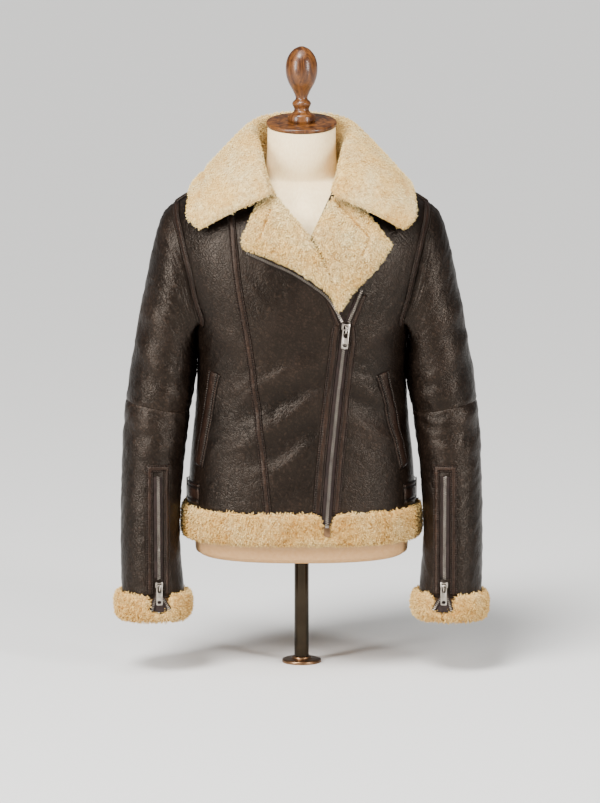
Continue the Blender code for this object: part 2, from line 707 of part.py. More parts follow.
def make_panels(leather):
    rows = 11
    half = RING_POINTS // 2

    def up_front(line_a, line_b):
        """Rows on a seam: evenly to the armpit's height, then evenly to the top."""
        points = np.concatenate([line_a, line_b[1:]])
        order = np.argsort(points[:, 1])
        heights = np.concatenate([
            np.linspace(HEM_TOP, 514, rows + 1), np.linspace(514, points[:, 1].max(), half + 1)[1:]])
        x = np.interp(heights, points[order, 1], points[order, 0])
        return np.stack([x, heights], -1)

    def side_edge(sign, back=False):
        loop = LOOPS[sign][1 if back else 0][::-1]
        lower = np.linspace(HEM_TOP, ARMPIT, rows + 1)[:-1]
        side = np.stack([np.full(rows, sign * 90.0), row_of_height(lower)], -1)
        return np.concatenate([side, loop])

    def level(first, last, count):
        return np.linspace(first, last, count)

    # Zip edge to slider and roll line to the neck, in the rows of the fronts
    zip_points = along(ZIP_LINE, 60)
    right_neck = np.concatenate([along(ROLL_RIGHT, 60), along(NECK_FRONT_RIGHT, 20)[1:]])
    left_neck = np.concatenate([
        along(ROLL_RIGHT, 60)[:38], along(ROLL_LEFT, 30), along(NECK_FRONT_LEFT, 20)[1:]])
    right_edge = spots(up_front(zip_points, right_neck))
    left_edge = spots(up_front(zip_points, left_neck))
    princess_points = up_front(along(PRINCESS, 80), np.array([[-103, 677], [-112, 736]]))
    princess = spots(princess_points)
    for edge in (right_edge, left_edge, princess):
        edge[-1, 1] = CREST_ROW

    side_right, side_left = side_edge(-1), side_edge(1)
    sheets = []
    sheets.append(trunk_panel(
        "front_right_centre", princess, right_edge,
        level(princess[0], right_edge[0], 8), level(princess[-1], right_edge[-1], 8), leather))
    sheets.append(trunk_panel(
        "front_right_side", side_right, princess,
        level(side_right[0], princess[0], 8), level(side_right[-1], princess[-1], 8),
        leather, armholes=(("front", -1, rows),)))
    sheets.append(trunk_panel(
        "front_left", left_edge, side_left,
        level(left_edge[0], side_left[0], 13), level(left_edge[-1], side_left[-1], 13),
        leather, armholes=(("front", 1, rows),)))

    # The back, seen from behind: from the wearer's left side to the right
    left_back, right_back = side_edge(1, True), side_edge(-1, True)
    right_back[:, 0] = np.mod(right_back[:, 0], 360)
    neck = along(NECK_BACK, 5)
    neck_left = spots(neck, 1)
    neck_left[0, 1] = CREST_ROW
    neck_right = neck_left[::-1] * [-1, 1] + [360, 0]
    shoulder_left = level(left_back[-1], neck_left[0], 6)
    shoulder_right = level(neck_right[-1], right_back[-1], 6)
    top = np.concatenate([shoulder_left[:-1], neck_left, neck_right[1:], shoulder_right[1:]])
    sheets.append(trunk_panel(
        "back", left_back, right_back, level(left_back[0], right_back[0], len(top)), top,
        leather, armholes=(("back", 1, rows), ("back", -1, rows))))
    return seated(trunk, sheets), left_edge[:rows + 1], princess[:-1]


def make_sleeves(leather):
    turns = np.arange(RING_POINTS) * 360 / RING_POINTS
    upper = np.array([0, 1, 2.1, 3.2, 4.3, 5.4, 6.3, 7.1, ELBOW_ROW])
    lower = np.array([ELBOW_ROW, 8.8, 9.7, 10.8, 12.2, 13.3, CUFF_ROW])
    arms = {}
    for sign, side in ((-1, "right"), (1, "left")):
        for name, rows in (("upper", upper), ("lower", lower)):
            turn, row = np.meshgrid(turns, rows)
            outer = sleeve(sign, turn, row)
            inner = sleeve(sign, turn, row, -LEATHER)
            edges = ("bottom", "top")
            if name == "upper":
                ring, wall, arm = ARMHOLES[sign]
                outer[0] = ring + arm * SEAM_GAP
                inner[0] = ring + arm * SEAM_GAP + wall * LEATHER
                edges = ("top",)
            outer = ease_edges(outer, SEAM_GAP, edges)
            inner = ease_edges(inner, SEAM_GAP, edges)
            shell(f"sleeve_{side}_{name}", outer, inner, leather, round_u=True)
        closed = np.concatenate([outer, outer[:, :1]], axis=1)
        arms[sign] = seated(lambda turn, row, off, sign=sign: sleeve(sign, turn, row, off), [closed])
    return arms


def spot_on_sleeve(sign, x, z):
    """The turn and row of the sleeve's front point at x and z."""
    guess = np.array([90.0, 11.0])
    for _ in range(30):
        here = sleeve_plain(sign, guess[0], guess[1])
        by_turn = (sleeve_plain(sign, guess[0] + 0.5, guess[1]) - here) / 0.5
        by_row = (sleeve_plain(sign, guess[0], guess[1] + 0.02) - here) / 0.02
        grid = np.array([[by_turn[0], by_row[0]], [by_turn[2], by_row[2]]])
        guess = guess - np.linalg.solve(grid, [here[0] - x, here[2] - z])
    return guess


def make_strips(cloth, trim):
    for sign, side in ((-1, "right"), (1, "left")):
        front, back = LOOPS[sign]
        inward = (12.5, -2.5) if sign < 0 else (-2.5, 12.5)
        first, last = ARM_START
        strip(f"armhole_strip_front_{side}", cloth, front[first::-1], *inward, trim)
        strip(f"armhole_strip_back_{side}", cloth, back[:last + 1], *inward, trim)


def trunk_patch(name, cloth, left, right, bottom, top, thick, finish, low=1.3):
    """A crowned slab on the trunk's front, between edges given as x and z."""
    grid = coons(left, right, bottom, top)
    flat = trunk_spot(grid[..., 0], grid[..., 1])
    rows, columns = grid.shape[:2]
    across = 1 - (2 * np.linspace(0, 1, columns)[None, :] - 1) ** 4
    upward = 1 - (2 * np.linspace(0, 1, rows)[:, None] - 1) ** 6
    top_off = low + thick * (0.5 + 0.5 * across * upward)
    outer = cloth(flat[..., 0], flat[..., 1], top_off)
    inner = cloth(flat[..., 0], flat[..., 1], np.full(top_off.shape, low))
    outer, inner = ease_edges(outer, SEAM_GAP * 2), ease_edges(inner, SEAM_GAP * 2)
    return shell(name, outer, inner, finish)


def make_lapels(cloth, wool):
    rows, columns = 11, 7
    roll = along(ROLL_RIGHT, 100)
    edge = along(LAPEL_RIGHT_EDGE, rows)
    inside = evenly(roll[(roll[:, 1] > LAPEL_FOOT[0]) & (roll[:, 1] < 709)], rows)
    trunk_patch(
        "lapel_right", cloth, edge, inside, np.linspace(edge[0], inside[0], columns),
        along(LAPEL_RIGHT_TOP, columns), LAPEL_THICK, wool)
    lower = roll[(roll[:, 1] > LAPEL_FOOT[1]) & (roll[:, 1] < 652)]
    upper = along(ROLL_LEFT, 40)
    inside = evenly(np.concatenate([lower, upper[upper[:, 1] < 709]]), rows)
    edge = along(LAPEL_LEFT_EDGE, rows)
    trunk_patch(
        "lapel_left", cloth, inside, edge, np.linspace(inside[0], edge[0], columns),
        along(LAPEL_LEFT_TOP, columns)[::-1], LAPEL_THICK, wool)


def neck_points(sign, count):
    """The neckline's points and the directions up and away from it, front to back."""
    front = spots(along(NECK_FRONT_LEFT if sign > 0 else NECK_FRONT_RIGHT, 30))
    back = spots(along(NECK_BACK, 30) * [sign, 1], 1)
    front[-1, 1] = back[0, 1] = CREST_ROW
    edge = np.concatenate([trunk(*front.T), trunk(*back[1:].T)])
    normal = np.concatenate([trunk_normal(*front.T), trunk_normal(*back[1:].T)])
    both = evenly(np.concatenate([edge, normal * 0.001], axis=1), count)
    edge, normal = both[:, :3], unit(both[:, 3:])
    tangent = np.gradient(edge, axis=0)
    away = unit(np.cross(tangent, normal)) * sign
    return edge, normal, away


def make_collar(wool):
    stations, paths = [], []
    for sign in (-1, 1):
        edge, normal, away = neck_points(sign, 2 * len(COLLAR["thick"]) - 1)
        edge = edge + normal * COLLAR_LIFT
        base = edge + normal * COLLAR_BASE / 2 + away * COLLAR_BASE / 2
        grid = [base[::2]]
        for part in ("stand", "roll", "mid", "edge"):
            grid.append(np.stack([COLLAR[f"{part}_{axis}"] for axis in "xyz"], -1) * [sign, 1, 1])
        grid = np.stack(grid, 1)
        flat = (edge, edge + away * COLLAR_BASE + normal * 0.4)
        if sign > 0:
            grid, flat = grid[::-1][1:], tuple(side[::-1][1:] for side in flat)
        stations.append(grid)
        paths.append(flat)
    control = np.concatenate(stations)
    inside, outside = (np.concatenate([paths[0][k], paths[1][k]]) for k in (0, 1))
    count = 2 * len(control) - 1
    at_station = np.linspace(0, len(control) - 1, count)
    at_path = np.array([0, 0.5, 1, 1.5, 2, 2.5, 3, 3.5, 3.85, 4])
    middle = spline(control, at_station)
    middle = np.swapaxes(spline(np.swapaxes(middle, 0, 1), at_path), 0, 1)
    d_station = np.gradient(middle, axis=0)
    d_path = np.gradient(middle, at_path, axis=1)
    normal = unit(np.cross(d_station, d_path))
    half = spline(COLLAR_SHAPE["thick"], at_path)[None, :, None] / 2
    ends = np.minimum(np.arange(count), np.arange(count)[::-1])
    half = half * np.where(ends == 0, 0.75, 1)[:, None, None]
    wool_side = middle + normal * half
    hide_side = middle - normal * half
    wool_side[:, 0] = inside
    hide_side[:, 0] = outside
    return shell("collar", wool_side, hide_side, wool)


def make_hem(wool):
    row = row_of_height(HEM_SECTION["z"])
    left = trunk_spot(HEM_GAP[1], 220.0)[0]
    right = trunk_spot(HEM_GAP[0], 220.0)[0] + 360
    turns = np.linspace(left, right, 39)
    sections = trunk(turns[:, None], row[None, :], HEM_SECTION["off"][None, :])
    sweep("hem_band", sections, wool)


def make_cuffs(wool):
    for sign, side in ((-1, "right"), (1, "left")):
        zip_turn = spot_on_sleeve(sign, sign * (CUFF_ZIP_X + CUFF_GAP_SHIFT), 100.0)[0]
        turns = np.linspace(zip_turn + CUFF_GAP, zip_turn + 360 - CUFF_GAP, 20)
        sections = sleeve(sign, turns[:, None], CUFF_SECTION["row"], CUFF_SECTION["off"])
        sweep(f"cuff_{side}", sections, wool)


def make_front_trim(cloth, zip_edge, princess, trim, tape):
    below = trunk_spot(np.array([37.0]), np.array([227.0]))
    closed = np.concatenate([below, zip_edge[:-1]])
    strip("main_zip_closed", cloth, closed, ZIP_HALF, ZIP_HALF, tape, ZIP_THICK)
    strip("main_zip_branch_right", cloth, spots(along(BRANCH_RIGHT, 12)), 3.2, 3.2, tape, 3.4)
    strip("main_zip_branch_left", cloth, spots(along(BRANCH_LEFT, 5)), 3.2, 3.2, tape, 3.0)
    low = trunk_spot(np.array([37.8]), np.array([245.5]))
    high = trunk_spot(np.array([64.0]), np.array([530.0]))
    beside = np.concatenate([low, zip_edge[1:], high])
    strip("zip_facing_right", cloth, beside, -FACING_NEAR, FACING_FAR, trim)
    strip("zip_facing_left", cloth, beside, FACING_FAR, -FACING_NEAR, trim, low=LIFT + 0.2)
    strip("zip_facing_left_upper", cloth, spots(along(FACING_UPPER, 5)), 5, 5, trim)
    strip("princess_strip", cloth, princess, PRINCESS_HALF, PRINCESS_HALF, trim)


def make_welts_and_tabs(cloth, trim, metal):
    welts = {"right": ((-127.5, 451), (-139, 380), (-151.5, 309)),
             "left": ((117.5, 451), (134, 380), (150.5, 308))}
    for side, line in welts.items():
        line = along(table("x z", *line), 8)
        strip(f"pocket_welt_{side}", cloth, spots(line), WELT_HALF, WELT_HALF, trim, 2.8)
    row = row_of_height(TAB_Z)
    for sign, side in ((-1, "right"), (1, "left")):
        for name, first, last in (("front", 60, 85), ("back", 95, 124)):
            turns = np.linspace(first, last, 6) * sign
            path = np.stack([turns, np.full(6, row)], -1)
            strip(f"waist_tab_{name}_{side}", cloth, path, TAB_HALF, TAB_HALF, trim, 2.6)
        spot = trunk(sign * 90.0, row)
        place = np.eye(4)
        place[:3, 0], place[:3, 1], place[:3, 2] = (0, -1, 0), (0, 0, 1), (1, 0, 0)
        place[:3, 3] = spot
        near, far = sorted((sign * 1.0, sign * 3.4))
        ring = plate(f"side_ring_{side}", rounded(6.0, -16, 16, 3), near, far, place, metal)
        hole = plate(f"ring_hole_{side}", rounded(3.6, -13.4, 13.4, 2), near - 2, far + 2,
                     place, metal)
        combine(ring, hole, "DIFFERENCE")


def zip_slider(name, spot, normal, lean, scale, metal, base):
    """A slider with a bridge, and its pull tab hinged on the bridge."""
    out = unit(np.array([normal[0], normal[1], 0.0]))
    up = unit(np.array([lean, 0, 1.0]) - out * (np.array([lean, 0, 1.0]) @ out))
    place = np.eye(4)
    place[:3, 0], place[:3, 1], place[:3, 2] = np.cross(up, out), up, out
    place[:3, :3] *= scale
    place[:3, 3] = spot

    crown = [(6.5, 8), (5.4, 9.6), (-5.4, 9.6), (-6.5, 8), (-6.1, 1), (-4.6, -7), (-3.4, -8.4),
             (3.4, -8.4), (4.6, -7), (6.1, 1)]
    body = plate(f"{name}_slider", crown, base, 5.5, place, metal)
    arch = ((5.6, 4.8), (5.4, 8.4), (3.2, 9.9), (-3.2, 9.9), (-5.4, 8.4), (-5.6, 4.8))
    inner_arch = ((4.2, 4.8), (4.0, 8.0), (2.8, 8.7), (-2.8, 8.7), (-4.0, 8.0), (-4.2, 4.8))
    sections = []
    for (up_far, out_far), (up_near, out_near) in zip(arch, inner_arch):
        sections.append([(-1.2, up_far, out_far), (1.2, up_far, out_far),
                         (1.2, up_near, out_near), (-1.2, up_near, out_near)])
    bridge = sweep(f"{name}_bridge", np.array(sections) @ place[:3, :3].T + place[:3, 3], metal)
    combine(body, bridge, "UNION")

    pivot = place[:3, 3] + place[:3, 2] * 7.1
    local = np.eye(4)
    local[:3, :3] = place[:3, :3]
    pull = plate(f"{name}_pull", rounded(5.8, -30.5, 1.0, 1.0, 2), -0.8, 0.8, local, metal)
    slot = plate(f"{name}_pull_slot", rounded(2.7, -8.6, -1.0, 0.6, 1), -2, 2, local, metal)
    hole = plate(f"{name}_pull_hole", rounded(3.4, -27.4, -21.6, 2.6, 3), -2, 2, local, metal)
    for piece in (pull, slot, hole):
        piece.location = Vector(pivot * MM)
    combine(pull, slot, "DIFFERENCE")
    combine(pull, hole, "DIFFERENCE")


def make_zips(arms, tape, metal, trim):
    spot = trunk_spot(63.4, SLIDER_Z)
    zip_slider("main", trunk(*spot), trunk_normal(*spot), 0.09, 1.0, metal, 1.0)
    box_place = np.eye(4)
    box_place[:3, 0], box_place[:3, 1], box_place[:3, 2] = (1, 0, 0), (0, 0, 1), (0, -1, 0)
    box_place[:3, 3] = trunk(*trunk_spot(37.0, 219.5))
    plate("main_zip_box", rounded(4.6, -6.5, 7.2, 1.2), 0, 3.4, box_place, metal)
    for sign, side in ((-1, "right"), (1, "left")):
        cloth = arms[sign]

        def path(points):
            return [spot_on_sleeve(sign, sign * (CUFF_ZIP_X + x), z) for x, z in points]

        heights = np.linspace(CUFF_SLIDER_Z + 9, CUFF_FRAME_TOP - 13, 13)
        chain = zip(np.linspace(CUFF_SLIDER_SHIFT, 0, 13), heights)
        strip(f"cuff_zip_{side}", cloth, path(chain), ZIP_HALF, ZIP_HALF, tape, ZIP_THICK)
        legs = np.linspace(CUFF_FRAME_FOOT, CUFF_FRAME_TOP, 13)
        bend = [(x, CUFF_FRAME_TOP) for x in (-CUFF_FRAME_HALF / 2, 0, CUFF_FRAME_HALF / 2)]
        frame = [(-CUFF_FRAME_HALF, z) for z in legs] + bend
        frame += [(CUFF_FRAME_HALF, z) for z in legs[::-1]]
        strip(f"cuff_frame_{side}", cloth, path(frame), 4.5, 4.5, trim)
        spot = path([(CUFF_SLIDER_SHIFT, CUFF_SLIDER_Z)])[0]
        zip_slider(f"cuff_{side}", sleeve(sign, *spot), sleeve_normal(sign, *spot), 0.0, 0.9,
                   metal, 1.2)
        for name in ("inner", "outer"):
            ends = zip(CUFF_TAPE[name] + CUFF_SLIDER_SHIFT, CUFF_TAPE["z"])
            strip(f"cuff_tape_{name}_{side}", cloth, path(ends), 2.1, 2.1, tape, 1.6)


def make_form(linen, wood, steel, bronze):
    turns = np.radians(np.arange(26) * 360 / 26)
    tilt = math.tan(math.radians(CAP_TILT))
    points = []
    for k in range(len(FORM["z"])):
        power = 2 / FORM["power"][k]
        sine, cosine = np.sin(turns), np.cos(turns)
        x = FORM["half_width"][k] * signed_power(sine, power)
        depth = np.where(cosine > 0, FORM["front"][k], FORM["back"][k])
        y = FORM["centre_y"][k] - depth * signed_power(cosine, power)
        lean = ease((FORM["z"][k] - NECK_LEAN_START) / (FORM["z"][-1] - NECK_LEAN_START))
        points.append(np.stack([x, y, FORM["z"][k] + y * tilt * lean], -1))
    sweep("form_torso", np.array(points), linen)

    cap = lathe("neck_cap", ((-CAP_THICK, CAP_RADIUS - 2), (-CAP_THICK + 1.5, CAP_RADIUS),
                             (-1.5, CAP_RADIUS), (0, CAP_RADIUS - 2)), wood, 32)
    cap.matrix_world = (Matrix.Translation((0, 0, CAP_TOP * MM))
                        @ Matrix.Rotation(math.radians(CAP_TILT), 4, "X"))
    profile = list(zip(FINIAL["z"], FINIAL["radius"]))
    finial = lathe("finial", profile, wood, 20, base=CAP_TOP + FIT)
    for vertex in finial.data.vertices:
        height = vertex.co.z / MM - CAP_TOP - FIT
        vertex.co.z += vertex.co.y * tilt * float(1 - ease(height / 12))
    lathe("pole", ((FOOT_BOSS + FIT, POLE_RADIUS), (FORM["z"][0] - FIT, POLE_RADIUS)), steel, 20)
    lathe("foot_flange", ((0, FOOT_RADIUS), (3.5, FOOT_RADIUS), (5, FOOT_RADIUS - 1.5),
                          (5.6, 16), (7, 14.5), (FOOT_BOSS, 14)), bronze, 28)


def build():
    for old in list(bpy.data.objects):
        bpy.data.objects.remove(old, do_unlink=True)
    leather = material("leather", (0.05, 0.03, 0.022), 0.42)
    trim = material("leather_trim", (0.075, 0.035, 0.025), 0.45)
    wool = material("wool", (0.72, 0.58, 0.4), 0.95)
    tape = material("zip_tape", (0.03, 0.022, 0.02), 0.8)
    nickel = material("nickel", (0.62, 0.6, 0.57), 0.28, 1.0)
    linen = material("linen", (0.78, 0.73, 0.64), 0.9)
    wood = material("turned_wood", (0.2, 0.09, 0.035), 0.3)
    steel = material("dark_steel", (0.09, 0.08, 0.075), 0.25, 1.0)
    bronze = material("bronze", (0.23, 0.14, 0.08), 0.35, 1.0)
    cloth, zip_edge, princess = make_panels(leather)
    arms = make_sleeves(leather)
    make_strips(cloth, trim)
    make_lapels(cloth, wool)
    make_collar(wool)
    make_hem(wool)
    make_cuffs(wool)
    make_front_trim(cloth, zip_edge, princess, trim, tape)
    make_welts_and_tabs(cloth, trim, nickel)
    make_zips(arms, tape, nickel, trim)
    make_form(linen, wood, steel, bronze)


build()
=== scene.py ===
# Shearling bomber jacket on a limbless dress form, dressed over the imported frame.
# Tables and pattern sizes are in millimetres; meshes, nodes and lights are in metres.
import math
from functools import partial

import bmesh
import bpy
import numpy as np
from mathutils import Matrix, Vector, noise


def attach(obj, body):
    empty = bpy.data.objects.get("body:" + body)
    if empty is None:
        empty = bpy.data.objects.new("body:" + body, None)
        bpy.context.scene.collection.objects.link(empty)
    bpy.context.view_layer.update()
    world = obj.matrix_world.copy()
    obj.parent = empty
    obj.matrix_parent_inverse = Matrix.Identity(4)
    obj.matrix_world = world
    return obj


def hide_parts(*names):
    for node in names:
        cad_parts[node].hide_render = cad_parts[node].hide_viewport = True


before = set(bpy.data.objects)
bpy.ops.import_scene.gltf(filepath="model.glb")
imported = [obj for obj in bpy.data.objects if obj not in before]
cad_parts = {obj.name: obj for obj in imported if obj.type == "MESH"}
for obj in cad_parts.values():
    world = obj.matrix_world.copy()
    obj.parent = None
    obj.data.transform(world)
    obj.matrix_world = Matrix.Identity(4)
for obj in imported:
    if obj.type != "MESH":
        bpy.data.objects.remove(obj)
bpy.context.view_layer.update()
scene = bpy.context.scene
mm = 0.001
jacketBody = "jacket_on_form"
print("frame loaded:", len(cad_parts), "nodes")

# Camera, light and floor
studio = dict(
    eye=(-0.0024, -6.0, 1.22), target=(-0.0024, 0.0, 0.397), lens=120.7,
    floorColour=(0.66, 0.65, 0.63), skyColour=(0.92, 0.94, 0.96), skyStrength=0.24,
    sunFrom=(-0.6, -1.0, 1.7), sunPower=5.9, sunAngle=22, lit=Vector((0, 0, 0.5)),
)
softLights = (
    dict(name="leftBox", place=(-2.3, -2.2, 1.5), size=0.7, tall=1.9, power=175),
    dict(name="rightBox", place=(2.4, -2.3, 1.4), size=0.6, tall=1.8, power=135),
    dict(name="topBox", place=(0.0, -0.6, 2.9), size=1.6, tall=1.2, power=34),
)


def addToScene(name, data):
    made = bpy.data.objects.new(name, data)
    scene.collection.objects.link(made)
    return made


def aim(thing, place, way, axis="-Z"):
    thing.location = place
    thing.rotation_euler = Vector(way).to_track_quat(axis, "Y").to_euler()


def setStudio():
    lens = bpy.data.cameras.new("photoCamera")
    lens.sensor_fit, lens.sensor_height, lens.lens = "VERTICAL", 24.0, studio["lens"]
    lens.clip_end = 200
    camera = addToScene("photoCamera", lens)
    aim(camera, studio["eye"], Vector(studio["target"]) - Vector(studio["eye"]))
    scene.camera = camera
    sunLight = bpy.data.lights.new("softSun", "SUN")
    sunLight.energy, sunLight.angle = studio["sunPower"], math.radians(studio["sunAngle"])
    aim(addToScene("softSun", sunLight), (0, 0, 0), studio["sunFrom"], "Z")
    for light in softLights:
        panel = bpy.data.lights.new(light["name"], "AREA")
        panel.shape, panel.energy = "RECTANGLE", light["power"]
        panel.size, panel.size_y = light["size"], light["tall"]
        aim(addToScene(light["name"], panel), light["place"], studio["lit"] - Vector(light["place"]))
    world = bpy.data.worlds.new("paleRoom")
    scene.world = world
    world.use_nodes = True
    sky = world.node_tree.nodes["Background"]
    sky.inputs["Color"].default_value = (*studio["skyColour"], 1)
    sky.inputs["Strength"].default_value = studio["skyStrength"]


setStudio()
print("camera and lights set")

# Materials: every pattern reads object coordinates, a mesh attribute or the form's own UV map
leatherLook = dict(clouds=17, speckle=330, bend=70, bendBy=0.012, crackle=190, pebble=620, lines=135,
                   slant=-37, stretch=2.1, puckerPitch=3.5)
# the fleece tint is painted shade in the gaps between tufts
fleeceLook = dict(patches=26, fibre=420, bend=240, bendBy=0.007, tufts=175, between=(0.68, 0.52, 0.3))
woodLook = dict(stretch=(60, 60, 9), lean=(0.12, 0.07, 0), rings=1.6, pores=14)
# the linen's darkening towards the form's bottom is a painted shadow under the hem
clothLook = dict(slub=160, hemShadowColour=(0.42, 0.24, 0.12), hemShadowLow=0.188, hemShadowHigh=0.235)


def put(tree, kind, inputs=None, **settings):
    made = tree.nodes.new(kind)
    for key, value in settings.items():
        setattr(made, key, value)
    for key, value in (inputs or {}).items():
        if isinstance(value, bpy.types.NodeSocket):
            tree.links.new(value, made.inputs[key])
        else:
            made.inputs[key].default_value = value
    return made


def calc(tree, how, a, b=0.5, **more):
    return put(tree, "ShaderNodeMath", {0: a, 1: b}, operation=how, **more).outputs[0]


def sum2(tree, a, b, scaleB=1.0):
    return put(tree, "ShaderNodeMath", {0: b, 1: scaleB, 2: a}, operation="MULTIPLY_ADD").outputs[0]


def ramp(tree, value, *stops):
    made = put(tree, "ShaderNodeValToRGB", {"Fac": value})
    steps = made.color_ramp.elements
    while len(steps) < len(stops):
        steps.new(0.5)
    for step, (place, grey) in zip(steps, stops):
        step.position, step.color = place, (grey, grey, grey, 1)
    return made.outputs["Color"]


def blend(tree, share, first, second, how="MIX"):
    colours = [(*c, 1) if isinstance(c, tuple) else c for c in (first, second)]
    return put(tree, "ShaderNodeMix", {0: share, 6: colours[0], 7: colours[1]}, data_type="RGBA",
               blend_type=how).outputs[2]


def darkened(tree, colour, by, share=1.0):
    return blend(tree, share, colour, by, "MULTIPLY")


def clouds(tree, where, scale, detail, key="Fac", **more):
    inputs = {"Vector": where, "Scale": scale, "Detail": detail, **more}
    return put(tree, "ShaderNodeTexNoise", inputs).outputs[key]


def cells(tree, where, scale, **more):
    return put(tree, "ShaderNodeTexVoronoi", {"Vector": where, "Scale": scale}, **more).outputs["Distance"]


def marked(tree, name):
    return put(tree, "ShaderNodeAttribute", attribute_name=name).outputs["Fac"]


def vectors(tree, how, inputs):
    return put(tree, "ShaderNodeVectorMath", inputs, operation=how).outputs[0]


def bent(tree, where, scale, detail, by):
    push = clouds(tree, where, scale, detail, "Color")
    return vectors(tree, "MULTIPLY_ADD", {0: push, 1: (by, by, by), 2: where})


def startMaterial(name, **sockets):
    made = bpy.data.materials.new(name)
    made.use_nodes = True
    for key, value in sockets.items():
        made.node_tree.nodes["Principled BSDF"].inputs[key.replace("_", " ")].default_value = value
    return made, made.node_tree, put(made.node_tree, "ShaderNodeTexCoord").outputs["Object"]


def finishMaterial(made, colour, roughness=None, height=None, depth=0.0, strength=0.0):
    tree = made.node_tree
    wanted = {"Base Color": colour, "Roughness": roughness}
    if height is not None:
        bump = put(tree, "ShaderNodeBump", {"Height": height, "Distance": depth, "Strength": strength})
        wanted["Normal"] = bump.outputs["Normal"]
    for key, value in wanted.items():
        if value is not None:
            tree.links.new(value, tree.nodes["Principled BSDF"].inputs[key])
    return made


def leatherMaterial(name, dark, middle, worn, grain=1.0, puckers=False):
    look = leatherLook
    made, tree, where = startMaterial(name, Specular_IOR_Level=0.19, Specular_Tint=(1, 0.84, 0.7, 1))
    broad = clouds(tree, where, look["clouds"], 5)
    speckle = clouds(tree, where, look["speckle"], 4, Roughness=0.7)
    shift = bent(tree, where, look["bend"], 3, look["bendBy"])
    crackle = cells(tree, shift, look["crackle"] * grain, feature="DISTANCE_TO_EDGE")
    pebble = cells(tree, shift, look["pebble"] * grain)
    drawn = put(tree, "ShaderNodeMapping", {"Vector": shift, "Rotation": (0, math.radians(look["slant"]), 0),
                                            "Scale": (1, 1, look["stretch"])}, vector_type="TEXTURE").outputs[0]
    lines = clouds(tree, drawn, look["lines"] * grain, 3, Roughness=0.6)
    crinkle = ramp(tree, lines, (0.36, 1.0), (0.49, 0.0), (0.51, 0.0), (0.64, 1.0))
    plates = ramp(tree, crackle, (0.0, 0.0), (0.16, 0.85), (0.4, 1.0))
    creased = calc(tree, "MULTIPLY", ramp(tree, crinkle, (0.0, 0.25), (0.7, 1.0)), plates)
    rubbed = marked(tree, "wear")
    base = blend(tree, ramp(tree, broad, (0.36, 0.0), (0.68, 1.0)), dark, middle)
    flecks = ramp(tree, speckle, (0.42, 0.0), (0.7, 1.0))
    # lighter flecks on the raised grain plates: worn grain and a painted highlight, mixed in with the worn
    # colour
    glintsAndWornFlecks = calc(tree, "MULTIPLY", calc(tree, "MULTIPLY", flecks, creased), 0.3)
    colour = blend(tree, sum2(tree, glintsAndWornFlecks, rubbed, 0.22), base, worn)
    # painted shade: the colour darkens in the creases and in the cracks between grain plates
    colour = darkened(tree, colour, ramp(tree, creased, (0.0, 0.45), (1.0, 1.0)))
    # negative wear, set only on sewn strips, darkens the colour: painted shade in the stitch grooves and along
    # the strip edges
    colour = darkened(tree, colour, calc(tree, "ADD", rubbed, 1.0, use_clamp=True))
    if puckers:  # the leather gathers between the stitches of a strip; painted shade darkens the hollows of the gathers, and the bump follows them
        turns = calc(tree, "MULTIPLY", marked(tree, "along"), 2 * math.pi / look["puckerPitch"])
        gathered = calc(tree, "MULTIPLY", calc(tree, "SINE", turns), marked(tree, "pucker"))
        # painted shade in the hollows of the gathers
        colour = darkened(tree, colour, ramp(tree, sum2(tree, gathered, 0.5), (0.0, 0.1), (0.55, 1.0)))
        crinkle = sum2(tree, crinkle, gathered, 4.0)
    rough = sum2(tree, ramp(tree, broad, (0.3, 0.28), (0.7, 0.4)), flecks, 0.1)
    fine = sum2(tree, sum2(tree, plates, pebble, 0.5), speckle, 0.6)
    return finishMaterial(made, colour, rough, sum2(tree, fine, crinkle, 0.9), 0.0006 / grain, 0.36)


def fleeceMaterial(name, root, cream, pale, tan):
    look = fleeceLook
    made, tree, where = startMaterial(name, Roughness=0.95, Sheen_Weight=0.2, Sheen_Tint=(1, 0.8, 0.5, 1),
                                      Sheen_Roughness=0.6, Specular_IOR_Level=0.15)
    fibre = clouds(tree, where, look["fibre"], 3, Roughness=0.7)
    tanned = marked(tree, "tan")
    patches = ramp(tree, clouds(tree, where, look["patches"], 4), (0.38, 0.0), (0.66, 1.0))
    light = blend(tree, tanned, blend(tree, patches, cream, pale), tan)
    # with the tip mark, the root colour paints shade at the lock roots and in the skin's hollows; the fibre
    # noise also mixes it in at random
    share = sum2(tree, ramp(tree, fibre, (0.3, 0.0), (0.8, 0.35)), marked(tree, "tip"), 0.8)
    tufts = cells(tree, bent(tree, where, look["bend"], 2, look["bendBy"]), look["tufts"])
    # painted shade: the tint darkens the gaps between tufts, more on tanned pieces
    tuftGapShade, tanTuftGapShade = (ramp(tree, tufts, (0.35, 0.0), (0.8, most)) for most in (0.4, 0.6))
    tuftGapShade = sum2(tree, tuftGapShade, tanTuftGapShade, tanned)
    colour = darkened(tree, blend(tree, share, root, light), look["between"], tuftGapShade)
    return finishMaterial(made, colour, None, fibre, 0.0012, 0.7)


def metalMaterial(name, light, dark, rough, scratch=900, mottle=140):
    made, tree, where = startMaterial(name, Metallic=1.0)
    tarnish = clouds(tree, where, mottle, 6)
    colour = blend(tree, ramp(tree, tarnish, (0.4, 0.0), (0.75, 1.0)), light, dark)
    roughness = ramp(tree, tarnish, (0.3, rough), (0.75, rough + 0.12))
    return finishMaterial(made, colour, roughness, clouds(tree, where, scratch, 2), 0.00006, 0.4)


